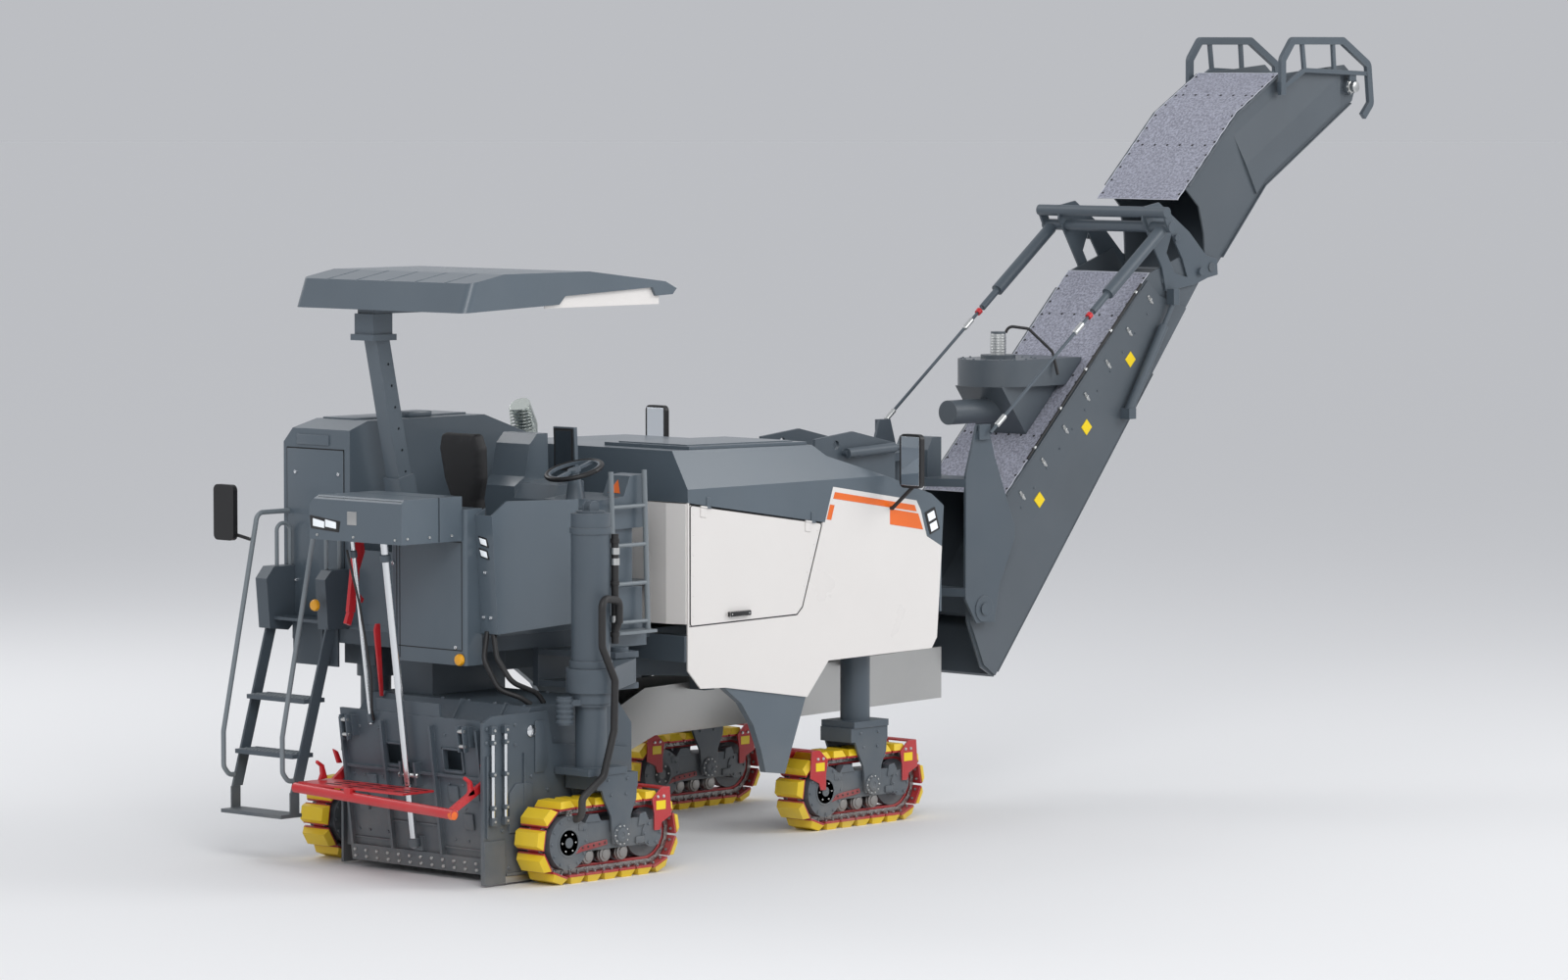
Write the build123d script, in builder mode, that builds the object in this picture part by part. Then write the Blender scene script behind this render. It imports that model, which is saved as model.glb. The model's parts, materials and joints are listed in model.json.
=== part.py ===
"""Compact tracked cold planer with a front discharge conveyor.

Millimetres. X runs forward, Y to the left and Z up. The origin is on the ground,
on the machine's centreline, straight below the axis of the milling drum.
"""

import os
from math import cos, pi, radians, sin, tan

from build123d import *

os.makedirs("parts", exist_ok=True)

# ---------------------------------------------------------------- driving dimensions
RUNNING_FIT = 0.2
SEAT_GAP = 0.3

BODY_HALF_WIDTH = 1050
SHEET = 12
WALL = 16
SKIN_OUT = BODY_HALF_WIDTH
SKIN_IN = BODY_HALF_WIDTH - SHEET
PLATE = 25
REAR_WALL_X = 1380
FRONT_WALL_X = 4000

TRACK_LENGTH = 1330
TRACK_HEIGHT = 550
PAD_WIDTH = 250
PAD_COUNT = 19
PAD_THICKNESS = 45
SHOE_THICKNESS = 14
CHAIN_DEPTH = 51

COLUMN_RADIUS = 105
GUIDE_RADIUS = 130
COLUMN_BASE_Z = 745
GUIDE_BASE_Z = 1215

# name: (track centre x, track centre y, column x from the track's centre, column top z)
TRACKS = {
    "front_left": (3300, 800, 50, 1750),
    "front_right": (3300, -800, 50, 1750),
    "rear_left": (0, 510, -60, 1420),
    "rear_right": (0, -1560, -60, 2250),
}

DRUM_AXIS_Z = 620
DRUM_CUT_RADIUS = 450
DRUM_SHELL_RADIUS = 340
DRUM_RIGHT_Y = -1310
MILLING_WIDTH = 1320

HOUSING_REAR_X = -620
HOUSING_FRONT_X = 525
HOUSING_RIGHT_Y = -1360
HOUSING_LEFT_Y = 200
HOUSING_TOP_Z = 1150
HOUSING_BOTTOM_Z = 130

SWING_X = 545
SWING_Y = -1230
ARM_LOW_Z = 1240
ARM_HIGH_Z = 1400

DECK_LOW_Z = 1455
DECK_HIGH_Z = 1555
FLOOR_Z = 1850
CABINET_Y = 430

SLEW_X = 4650
LUFF_X = 5080
LUFF_Z = 1400
FOLD_X = 7760
FOLD_Z = 3830
CONVEYOR_HALF_WIDTH = 400
COLLECT_HALF_WIDTH = 235
SNOUT_END_X = 4900

SCRAPER_LEAN = 7.5
SCRAPER_FOOT_X = -650
SCRAPER_FOOT_Z = 50
MAST_LEAN = 12
MAST_FOOT = (-60, 210, 2300)


# ---------------------------------------------------------------- shaping helpers
def outline(plane, points, depth, mode=Mode.ADD):
    """Extrude a closed polygon drawn on a plane."""
    with BuildSketch(plane) as profile:
        with BuildLine():
            Polyline(*points, close=True)
        make_face()
    extrude(profile.sketch, amount=depth, mode=mode)


def side_slab(points, y_low, y_high, mode=Mode.ADD):
    """Extrude an outline of (x, z) points between two Y positions."""
    outline(Plane.XZ.offset(-y_high), points, y_high - y_low, mode)


def cross_slab(points, x_low, x_high, mode=Mode.ADD):
    """Extrude an outline of (y, z) points between two X positions."""
    outline(Plane.YZ.offset(x_low), points, x_high - x_low, mode)


def plan_slab(points, z_low, z_high, mode=Mode.ADD):
    """Extrude an outline of (x, y) points between two heights."""
    outline(Plane.XY.offset(z_low), points, z_high - z_low, mode)


def block(x_span, y_span, z_span, mode=Mode.ADD):
    """Add a box that fills three spans."""
    spans = (x_span, y_span, z_span)
    centre = tuple((low + high) / 2 for low, high in spans)
    with Locations(centre):
        Box(*(high - low for low, high in spans), mode=mode)


def bar(start, end, radius, mode=Mode.ADD):
    """Add a round bar between two points."""
    run = Vector(*end) - Vector(*start)
    with BuildSketch(Plane(origin=start, z_dir=run)) as section:
        Circle(radius)
    extrude(section.sketch, amount=run.length, mode=mode)


def pipe(start, end, radius, bore):
    """Add a round tube between two points."""
    run = Vector(*end) - Vector(*start)
    with BuildSketch(Plane(origin=start, z_dir=run)) as section:
        Circle(radius)
        Circle(bore, mode=Mode.SUBTRACT)
    extrude(section.sketch, amount=run.length)


def beam(start, end, width, height):
    """Add a rectangular bar between two points of one X-Z plane, wide along Y."""
    run = Vector(*end) - Vector(*start)
    with BuildSketch(Plane(origin=start, x_dir=(0, 1, 0), z_dir=run)) as section:
        Rectangle(width, height)
    extrude(section.sketch, amount=run.length)


def bent_tube(points, radius, bend):
    """Sweep a round section along straight runs joined by arcs."""
    with BuildLine() as route:
        FilletPolyline(*points, radius=bend)
    with BuildSketch(Plane(origin=route.line @ 0, z_dir=route.line % 0)) as section:
        Circle(radius)
    sweep(section.sketch, path=route.line)


def bent_bar(points, width, depth, bend):
    """Sweep a flat section, wide along Y, along straight runs joined by arcs."""
    with BuildLine() as route:
        FilletPolyline(*points, radius=bend)
    start = route.line @ 0
    with BuildSketch(Plane(origin=start, x_dir=(0, 1, 0), z_dir=route.line % 0)) as section:
        Rectangle(width, depth)
    sweep(section.sketch, path=route.line)


def on_side(side, inner, outer):
    """Return the Y span between two distances from the centreline."""
    return tuple(sorted((side * inner, side * outer)))


def write(piece, name):
    """Label a finished piece and write it under its node name."""
    piece.part.label = name
    export_step(piece.part, f"parts/{name}.step")


# ---------------------------------------------------------------- crawler tracks
LOOP_RADIUS = TRACK_HEIGHT / 2
LOOP_HALF_RUN = (TRACK_LENGTH - TRACK_HEIGHT) / 2
SHOE_RADIUS = LOOP_RADIUS - PAD_THICKNESS
CHAIN_RADIUS = SHOE_RADIUS - SHOE_THICKNESS
WHEEL_RADIUS = CHAIN_RADIUS - CHAIN_DEPTH
PAD_LENGTH = 128
PAD_TAPER = 23
FORK_INNER_Y = 130
FORK_OUTER_Y = 148
HUB_X = 70
HUB_Z = 290
FRAME_INNER_Y = 46
FRAME_OUTER_Y = 115
END = LOOP_HALF_RUN
TRACK_FRAME = [(-END - 80, 235), (-END - 30, 150), (-END + 110, 205), (END - 90, 205),
               (END + 70, 190), (END + 90, 300), (END - 60, 385), (-END + 90, 400),
               (-END - 50, 370)]
DRIVE_COVER_RADIUS = 178
DRIVE_HUB_RADIUS = 34
IDLER_CAP_RADIUS = 92
COVER_OUTER_Y = 123
ROLLER_XS = (-190, -30, 130)
FRAME_BOX = [(-END + 150, 395), (-END + 190, 445), (-END + 270, 445), (-END + 300, 395)]
TENSION_BOX = [(END - 130, 330), (END - 115, 410), (END - 60, 420), (END - 20, 345)]


def shoe_planes():
    """Return one plane per shoe, spaced evenly round the loop and facing outward."""
    straight = 2 * LOOP_HALF_RUN
    turn = pi * SHOE_RADIUS
    pitch = (2 * straight + 2 * turn) / PAD_COUNT
    planes = []
    for index in range(PAD_COUNT):
        travel = (index + 0.5) * pitch
        if travel < straight:
            centre_x, heading = travel - LOOP_HALF_RUN, 0
        elif travel < straight + turn:
            centre_x, heading = LOOP_HALF_RUN, (travel - straight) / SHOE_RADIUS
        elif travel < 2 * straight + turn:
            centre_x, heading = LOOP_HALF_RUN - (travel - straight - turn), pi
        else:
            centre_x, heading = -LOOP_HALF_RUN, pi + (travel - 2 * straight - turn) / SHOE_RADIUS
        outward = (sin(heading), 0, -cos(heading))
        place = (
            centre_x + SHOE_RADIUS * outward[0],
            0,
            LOOP_RADIUS + SHOE_RADIUS * outward[2],
        )
        planes.append(Plane(origin=place, x_dir=(0, 1, 0), z_dir=outward))
    return planes


with BuildPart() as pad_loop:
    with BuildSketch(*shoe_planes()):
        Rectangle(PAD_WIDTH, PAD_LENGTH)
    extrude(amount=PAD_THICKNESS, taper=PAD_TAPER)

with BuildPart() as shoe_chain:
    with BuildSketch(*shoe_planes()):
        Rectangle(PAD_WIDTH - 12, PAD_LENGTH + 12)
    extrude(amount=-SHOE_THICKNESS)
    with BuildSketch(Plane.XZ.offset(-45)):
        with Locations((0, LOOP_RADIUS)):
            SlotCenterToCenter(2 * LOOP_HALF_RUN, 2 * CHAIN_RADIUS)
            SlotCenterToCenter(2 * LOOP_HALF_RUN, 2 * WHEEL_RADIUS + 2, mode=Mode.SUBTRACT)
    extrude(amount=90)

with BuildPart() as undercarriage:
    with BuildSketch(Plane.XZ.offset(-38)):
        with Locations((-LOOP_HALF_RUN, LOOP_RADIUS), (LOOP_HALF_RUN, LOOP_RADIUS)):
            Circle(WHEEL_RADIUS)
        with Locations(*[(x, LOOP_RADIUS - WHEEL_RADIUS + 58) for x in ROLLER_XS]):
            Circle(57)
    extrude(amount=76)
    side_slab(TRACK_FRAME, -FRAME_OUTER_Y, -FRAME_INNER_Y)
    side_slab(TRACK_FRAME, FRAME_INNER_Y, FRAME_OUTER_Y)
    block((-330, 330), (-FRAME_INNER_Y, FRAME_INNER_Y), (212, 392))
    for side in (-1, 1):
        bar((HUB_X, side * 110, HUB_Z), (HUB_X, side * (FORK_OUTER_Y + 10), HUB_Z), 72)
        bar((HUB_X, side * FORK_OUTER_Y, HUB_Z), (HUB_X, side * (FORK_OUTER_Y + 14), HUB_Z), 50)
        bar((-END, side * FRAME_INNER_Y, LOOP_RADIUS), (-END, side * COVER_OUTER_Y, LOOP_RADIUS),
            DRIVE_COVER_RADIUS)
        bar((-END, side * COVER_OUTER_Y, LOOP_RADIUS),
            (-END, side * (COVER_OUTER_Y + 4), LOOP_RADIUS), DRIVE_HUB_RADIUS)
        bar((END, side * 38, LOOP_RADIUS), (END, side * COVER_OUTER_Y, LOOP_RADIUS),
            IDLER_CAP_RADIUS)
        side_slab(FRAME_BOX, *on_side(side, 60, COVER_OUTER_Y))
        side_slab(TENSION_BOX, *on_side(side, 60, COVER_OUTER_Y))
        side_slab(
            [(-150, 700), (230, 700), (215, 520), (165, 420), (145, 235), (0, 235),
             (-20, 420), (-75, 520)],
            *sorted((side * FORK_INNER_Y, side * FORK_OUTER_Y)),
        )
    block((-150, 230), (-FORK_OUTER_Y, FORK_OUTER_Y), (600, 700))

CROWN_HALF_WIDTH = 158
GUARD_INNER_Y = PAD_WIDTH / 2 + 3
GUARD_OUTER_Y = GUARD_INNER_Y + 10
GUARD = [(END + 155, 572), (END + 75, 572), (END - 10, 500), (END + 10, 400), (END + 10, 290),
         (END + 60, 290), (END + 80, 340), (END + 170, 380)]
GUARD_BOLT = (END + 35, 315)
GUARD_STRAP_Z = (560, 572)
GUARD_ENDS = {"front_left": (-1, 1), "front_right": (-1, 1), "rear_left": (1,), "rear_right": (1,)}


def track_guard(track_x, track_y, end):
    """Add the sheet guard over one end of a track, bolted to the track frame."""
    bolt_x = track_x + end * GUARD_BOLT[0]
    for side in (-1, 1):
        span = sorted((track_y + side * GUARD_INNER_Y, track_y + side * GUARD_OUTER_Y))
        side_slab([(track_x + end * x, z) for x, z in GUARD], *span)
        bar((bolt_x, track_y + side * (COVER_OUTER_Y + SEAT_GAP), GUARD_BOLT[1]),
            (bolt_x, track_y + side * GUARD_OUTER_Y, GUARD_BOLT[1]), 16)
    block(sorted((track_x + end * (END + 75), track_x + end * (END + 155))),
          (track_y - GUARD_OUTER_Y, track_y + GUARD_OUTER_Y), GUARD_STRAP_Z)


for name, (track_x, track_y, column_dx, column_top) in TRACKS.items():
    place = Location((track_x, track_y, 0))
    with BuildPart() as pads:
        add(pad_loop.part.moved(place))
    write(pads, f"{name}_track_pads")
    with BuildPart() as shoes:
        add(shoe_chain.part.moved(place))
        for end in GUARD_ENDS[name]:
            track_guard(track_x, track_y, end)
    write(shoes, f"{name}_track_chain")
    column_x = track_x + column_dx
    with BuildPart() as carriage:
        add(undercarriage.part.moved(place))
        block(
            (column_x - 180, column_x + 180),
            (track_y - CROWN_HALF_WIDTH, track_y + CROWN_HALF_WIDTH),
            (700, COLUMN_BASE_Z),
        )
        bar((column_x, track_y, COLUMN_BASE_Z), (column_x, track_y, column_top), COLUMN_RADIUS)
    write(carriage, f"{name}_undercarriage")

# ---------------------------------------------------------------- milling drum
DRUM_LEFT_Y = DRUM_RIGHT_Y + MILLING_WIDTH
HOLDER_ROWS = 22
HOLDER_SPIRAL = 74
HOLDER_SIZE = 62


def holder_planes():
    """Return one plane per tool holder, along two spirals that meet in the middle."""
    planes = []
    step = (MILLING_WIDTH - 100) / (HOLDER_ROWS - 1)
    for start in range(2):
        for row in range(HOLDER_ROWS):
            y = DRUM_RIGHT_Y + 50 + row * step
            from_middle = abs(row - (HOLDER_ROWS - 1) / 2)
            angle = radians(start * 180 + from_middle * HOLDER_SPIRAL)
            outward = (cos(angle), 0, sin(angle))
            place = (
                DRUM_SHELL_RADIUS * outward[0] * 0.98, y,
                DRUM_AXIS_Z + DRUM_SHELL_RADIUS * outward[2] * 0.98,
            )
            planes.append(Plane(origin=place, x_dir=(0, 1, 0), z_dir=outward))
    return planes


with BuildPart() as milling_drum:
    pipe(
        (0, DRUM_RIGHT_Y, DRUM_AXIS_Z), (0, DRUM_LEFT_Y, DRUM_AXIS_Z),
        DRUM_SHELL_RADIUS, DRUM_SHELL_RADIUS - 40,
    )
    bar((0, DRUM_RIGHT_Y + 200, DRUM_AXIS_Z), (0, DRUM_RIGHT_Y + 240, DRUM_AXIS_Z),
        DRUM_SHELL_RADIUS - 20)
    bar((0, DRUM_LEFT_Y - 240, DRUM_AXIS_Z), (0, DRUM_LEFT_Y - 200, DRUM_AXIS_Z),
        DRUM_SHELL_RADIUS - 20)
    bar((0, HOUSING_RIGHT_Y + PLATE + 0.3, DRUM_AXIS_Z),
        (0, HOUSING_LEFT_Y - PLATE - 0.3, DRUM_AXIS_Z), 90)
    with BuildSketch(*holder_planes()):
        Rectangle(HOLDER_SIZE, HOLDER_SIZE + 20)
    extrude(amount=DRUM_CUT_RADIUS - DRUM_SHELL_RADIUS, taper=12)
write(milling_drum, "milling_drum")

# ---------------------------------------------------------------- drum housing
def scraper_face_x(z):
    """Return the X position of the leaning scraper's front face at a height."""
    return SCRAPER_FOOT_X - (z - SCRAPER_FOOT_Z) * tan(radians(SCRAPER_LEAN))


with BuildPart() as drum_housing:
    side_slab(
        [(HOUSING_REAR_X, HOUSING_BOTTOM_Z), (HOUSING_REAR_X, 880), (-420, HOUSING_TOP_Z),
         (380, HOUSING_TOP_Z), (HOUSING_FRONT_X, 980), (HOUSING_FRONT_X, HOUSING_BOTTOM_Z)],
        HOUSING_RIGHT_Y, HOUSING_LEFT_Y,
    )
    side_slab(
        [(HOUSING_REAR_X + PLATE, 0), (HOUSING_REAR_X + PLATE, 870),
         (-410, HOUSING_TOP_Z - PLATE), (370, HOUSING_TOP_Z - PLATE),
         (HOUSING_FRONT_X - PLATE, 970), (HOUSING_FRONT_X - PLATE, 0)],
        HOUSING_RIGHT_Y + PLATE, HOUSING_LEFT_Y - PLATE, Mode.SUBTRACT,
    )
    block((400, 600), (-300, HOUSING_LEFT_Y - PLATE - 15), (250, 640), Mode.SUBTRACT)
    for window_y in (-430, -1000):
        block((-700, -560), (window_y - 95, window_y + 95), (700, 860), Mode.SUBTRACT)
    for guide_y in (-1285, 15):
        side_slab([(HOUSING_REAR_X, 320), (HOUSING_REAR_X, 860),
                   (scraper_face_x(860) + SEAT_GAP, 860), (scraper_face_x(320) + SEAT_GAP, 320)],
                  guide_y, guide_y + 40)
    for rib_y in (-1140, -720, 20):
        side_slab([(HOUSING_REAR_X, 880), (HOUSING_REAR_X, 830), (HOUSING_REAR_X - 28, 860),
                   (-440, HOUSING_TOP_Z + 18), (-380, HOUSING_TOP_Z)], rib_y - 8, rib_y + 8)
    for guide_x in (-560, 380):
        block((guide_x - 40, guide_x + 40), (HOUSING_RIGHT_Y - 6.7, HOUSING_RIGHT_Y), (300, 520))
        block((guide_x - 40, guide_x + 40), (HOUSING_LEFT_Y, HOUSING_LEFT_Y + 6.7), (300, 520))
write(drum_housing, "drum_housing")

# ---------------------------------------------------------------- edge plates and scraper
with BuildPart() as side_plate_right:
    side_slab(
        [(-890, 12), (-890, 1080), (-800, 1120), (-300, 1120), (-250, 900), (480, 820),
         (520, 300), (520, 60), (470, 12)],
        HOUSING_RIGHT_Y - 32, HOUSING_RIGHT_Y - 7,
    )
write(side_plate_right, "side_plate_right")

GUIDE_FACE_Y = HOUSING_RIGHT_Y - 32
with BuildPart() as edge_plate_guides:
    block((-890, -700), (GUIDE_FACE_Y - 12, GUIDE_FACE_Y), (12, 300))
    for rib_x in (-860, -520):
        block((rib_x - 6, rib_x + 6), (GUIDE_FACE_Y - 14, GUIDE_FACE_Y), (320, 860))
    for strip_start, strip_end in ((-690, -70), (210, 470)):
        block((strip_start, strip_end), (GUIDE_FACE_Y - 12, GUIDE_FACE_Y), (60, 78))
    for rod_x in (-820, -705):
        bar((rod_x, GUIDE_FACE_Y - 20, 420), (rod_x, GUIDE_FACE_Y - 20, 1060), 13)
        for clamp_z in (430, 1030):
            block((rod_x - 22, rod_x + 22), (GUIDE_FACE_Y - 38, GUIDE_FACE_Y),
                  (clamp_z - 25, clamp_z + 25))
write(edge_plate_guides, "edge_plate_guides")

with BuildPart() as side_plate_left:
    side_slab(
        [(-650, 12), (-650, 620), (-560, 700), (380, 700), (470, 560), (470, 60), (420, 12)],
        HOUSING_LEFT_Y + 7, HOUSING_LEFT_Y + 27,
    )
write(side_plate_left, "side_plate_left")

SCRAPER_RISE = Vector(-sin(radians(SCRAPER_LEAN)), 0, cos(radians(SCRAPER_LEAN)))
SCRAPER_FOOT = Vector(SCRAPER_FOOT_X, 0, SCRAPER_FOOT_Z)
SCRAPER_HEIGHT = 1040
ROD_YS = (-600, -250)
ROD_RADII = (26, 14)
ROD_FEET = (140, 950)
ROD_TOP_Z = 2262
ROD_BLOCK_BACK = 60


def on_scraper(y, up, back):
    """Return the point at a height along the scraper, behind its front face."""
    point = SCRAPER_FOOT + SCRAPER_RISE * up + Vector(-cos(radians(SCRAPER_LEAN)), 0, 0) * back
    return (point.X, y, point.Z)


def scraper_slab(y_span, up_span, back_span, mode=Mode.ADD):
    """Add a box aligned with the leaning scraper."""
    corners = [
        on_scraper(0, up, back)[::2]
        for up, back in (
            (up_span[0], back_span[0]), (up_span[1], back_span[0]),
            (up_span[1], back_span[1]), (up_span[0], back_span[1]),
        )
    ]
    side_slab(corners, y_span[0], y_span[1], mode)


def rod_start(rod_y, rod_radius, foot):
    """Return the lower end of a scraper rod, seated on its block or on the board."""
    seat = ROD_BLOCK_BACK if foot < 200 else 30
    back = seat + (rod_radius + SEAT_GAP) / cos(radians(SCRAPER_LEAN)) ** 2
    return on_scraper(rod_y, foot, back)


with BuildPart() as scraper_board:
    scraper_slab((-1290, 60), (0, SCRAPER_HEIGHT), (0, 30))
    scraper_slab((-1290, 60), (0, 110), (30, 55))
    for rib_y in (-1270, -830, -360, 30):
        scraper_slab((rib_y - 10, rib_y + 10), (110, SCRAPER_HEIGHT - 60), (30, 70))
    for window_y in (-430, -1000):
        scraper_slab((window_y - 85, window_y + 85), (690, 830), (-5, 35), Mode.SUBTRACT)
    scraper_slab((ROD_YS[0] - 45, ROD_YS[0] + 45), (115, 215), (30, ROD_BLOCK_BACK))
    scraper_slab((-1270, 30), (640, 660), (30, 52))
    for lug_y in (ROD_YS[0] - 75, ROD_YS[0] + 60):
        scraper_slab((lug_y - 8, lug_y + 8), (560, 720), (30, 95))
    for lug_y in (-1180, -60):
        scraper_slab((lug_y - 45, lug_y + 45), (860, 1000), (30, 85))
    scraper_slab((-900, -300), (SCRAPER_HEIGHT, SCRAPER_HEIGHT + 90), (0, 24))
write(scraper_board, "scraper_board")

with BuildPart() as scraper_rods:
    for rod_y, rod_radius, foot in zip(ROD_YS, ROD_RADII, ROD_FEET):
        start = rod_start(rod_y, rod_radius, foot)
        rise = (ROD_TOP_Z - start[2]) / SCRAPER_RISE.Z
        end = Vector(*start) + SCRAPER_RISE * rise
        bar(start, (end.X, end.Y, end.Z), rod_radius)
write(scraper_rods, "scraper_rods")

# ---------------------------------------------------------------- swing arm and leg
LEG_X = TRACKS["rear_right"][0] + TRACKS["rear_right"][2]
LEG_Y = TRACKS["rear_right"][1]
PIN_RADIUS = 60
BUSH_X = LEG_X - 215
BUSH_Y = LEG_Y + 30
ARM_RUN = Vector(LEG_X - SWING_X, LEG_Y - SWING_Y, 0)
ARM_SIDE = ARM_RUN.normalized().cross(Vector(0, 0, 1))


def beside_arm(along, aside):
    """Return the plan point at a share of the arm's length, off to one side."""
    point = Vector(SWING_X, SWING_Y, 0) + ARM_RUN * along + ARM_SIDE * aside
    return (point.X, point.Y)


with BuildPart() as swing_arm:
    with BuildSketch(Plane.XY.offset(ARM_LOW_Z)):
        with BuildLine():
            Polyline(
                beside_arm(0, 110), beside_arm(1, 150), beside_arm(1, -150),
                beside_arm(0, -110), close=True,
            )
        make_face()
        with Locations((SWING_X, SWING_Y)):
            Circle(110)
        with Locations((LEG_X, LEG_Y)):
            Circle(165)
            Circle(GUIDE_RADIUS + RUNNING_FIT, mode=Mode.SUBTRACT)
        with Locations((SWING_X, SWING_Y)):
            Circle(PIN_RADIUS + RUNNING_FIT, mode=Mode.SUBTRACT)
    extrude(amount=ARM_HIGH_Z - ARM_LOW_Z)
write(swing_arm, "swing_arm")

with BuildPart() as leg_tube:
    pipe((LEG_X, LEG_Y, 1150), (LEG_X, LEG_Y, 2400), GUIDE_RADIUS, COLUMN_RADIUS + 0.3)
    pipe((LEG_X, LEG_Y, 1170), (LEG_X, LEG_Y, ARM_LOW_Z - 1), 143, GUIDE_RADIUS - 1)
    pipe((LEG_X, LEG_Y, ARM_HIGH_Z + 1), (LEG_X, LEG_Y, ARM_HIGH_Z + 50), 143, GUIDE_RADIUS - 1)
    pipe((LEG_X, LEG_Y, 2290), (LEG_X, LEG_Y, 2330), GUIDE_RADIUS + 8, GUIDE_RADIUS - 1)
    plan_slab([(LEG_X - 120, LEG_Y - 45), (BUSH_X, LEG_Y - 15), (BUSH_X, LEG_Y + 75),
               (LEG_X - 115, LEG_Y + 80)], 1160, 1200)
    bar((BUSH_X, BUSH_Y, 1035), (BUSH_X, BUSH_Y, 1222), 52)
    for ring_z in (1050, 1085, 1120, 1155, 1190):
        bar((BUSH_X, BUSH_Y, ring_z), (BUSH_X, BUSH_Y, ring_z + 16), 60)
    bar((LEG_X, LEG_Y, 2400), (LEG_X, LEG_Y, 2425), GUIDE_RADIUS)
    bar((LEG_X, LEG_Y, 2425), (LEG_X, LEG_Y, 2440), GUIDE_RADIUS - 34)
    for side in (-1, 1):
        side_slab([(LEG_X - 42, 2424), (LEG_X - 42, 2480), (LEG_X - 20, 2505),
                   (LEG_X + 20, 2505), (LEG_X + 42, 2480), (LEG_X + 42, 2424)],
                  *sorted((LEG_Y + side * 22, LEG_Y + side * 36)))
write(leg_tube, "leg_tube")

HOSE_RADIUS = 25
HOSE_BEND = 60
HOSE_ASIDE = (112, -115)
HOSE_CLAMP_ZS = (2240, 1960, 1620)

with BuildPart() as leg_hoses:
    hose_x, hose_y = LEG_X + HOSE_ASIDE[0], LEG_Y + HOSE_ASIDE[1]
    bar((hose_x, hose_y, 2285), (hose_x, hose_y, 1560), HOSE_RADIUS)
    bent_tube(
        [(hose_x, hose_y - 40, 1700), (hose_x - 20, hose_y - 60, 1850),
         (LEG_X - 120, LEG_Y - 225, 1880), (LEG_X - 130, LEG_Y - 235, 1560),
         (LEG_X, LEG_Y - 225, 1330), (LEG_X, LEG_Y - 215, 1000), (LEG_X - 90, LEG_Y - 205, 700),
         (-330, LEG_Y - 185, 570), (-330, LEG_Y - 185, 430),
         (-330, LEG_Y - COVER_OUTER_Y - SEAT_GAP, 430)],
        HOSE_RADIUS, HOSE_BEND,
    )
    bar((hose_x, hose_y, 1640), (hose_x, hose_y - 40, 1720), HOSE_RADIUS)
    reach = (GUIDE_RADIUS + SEAT_GAP) / Vector(*HOSE_ASIDE, 0).length
    for clamp_z in HOSE_CLAMP_ZS:
        bar((LEG_X + HOSE_ASIDE[0] * reach, LEG_Y + HOSE_ASIDE[1] * reach, clamp_z),
            (hose_x, hose_y, clamp_z), 16)
        bar((hose_x, hose_y, clamp_z - 14), (hose_x, hose_y, clamp_z + 14), HOSE_RADIUS + 5)
write(leg_hoses, "leg_hoses")

# ---------------------------------------------------------------- main frame
BEAM_INNER_Y = 380
BEAM_OUTER_Y = 440

with BuildPart() as main_frame:
    for side in (-1, 1):
        span = tuple(sorted((side * BEAM_INNER_Y, side * BEAM_OUTER_Y)))
        side_slab(
            [(700, 1180), (700, DECK_LOW_Z), (1370, DECK_LOW_Z), (1370, 1480), (3980, 1480),
             (3980, 1180), (2300, 1100), (1300, 1180)],
            *span,
        )
    block((-380, 1370), (-700, 1000), (DECK_LOW_Z, DECK_HIGH_Z))
    block((1370, 1470), (-SKIN_IN, SKIN_IN), (1300, 1480))
    block((2500, 2600), (-SKIN_IN, SKIN_IN), (1300, 1420))
    block((3150, 3550), (-SKIN_IN, SKIN_IN), (1260, 1420))
    block((3900, 3980), (-700, 700), (1300, 1480))
    block((-300, 380), (-300, 60), (HOUSING_TOP_Z, DECK_LOW_Z))
    block((300, 800), (-700, -650), (1195, DECK_LOW_Z))
    plan_slab([(300, -660), (800, -660), (655, -1300), (435, -1300)], 1195, ARM_LOW_Z - 5)
    plan_slab([(300, -660), (800, -660), (655, -1300), (435, -1300)], ARM_HIGH_Z + 5, 1445)
    bar((SWING_X, SWING_Y, 1200), (SWING_X, SWING_Y, 1475), PIN_RADIUS)
    block((-210, 90), (360, 660), (1300, DECK_LOW_Z))
    for side in (-1, 1):
        hanger_y = tuple(sorted((side * COLLECT_HALF_WIDTH, side * BEAM_INNER_Y)))
        block((2250, 2350), hanger_y, (1000, 1150))
        block((3850, 3950), hanger_y, (1050, 1250))
    for name in ("front_left", "front_right", "rear_left"):
        track_x, track_y, column_dx, column_top = TRACKS[name]
        column_x = track_x + column_dx
        bar((column_x, track_y, GUIDE_BASE_Z), (column_x, track_y, column_top + 60), GUIDE_RADIUS)
        bar((column_x, track_y, GUIDE_BASE_Z - 5), (column_x, track_y, column_top + 15),
            COLUMN_RADIUS + RUNNING_FIT, Mode.SUBTRACT)
write(main_frame, "main_frame")

with BuildPart() as engine_block:
    block((1500, 2750), (-420, 420), (1480, 2180))
    block((2750, 3250), (-550, 550), (1480, 2050))
    chamfer(engine_block.edges().filter_by(Axis.X), 40)
write(engine_block, "engine_block")

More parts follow.
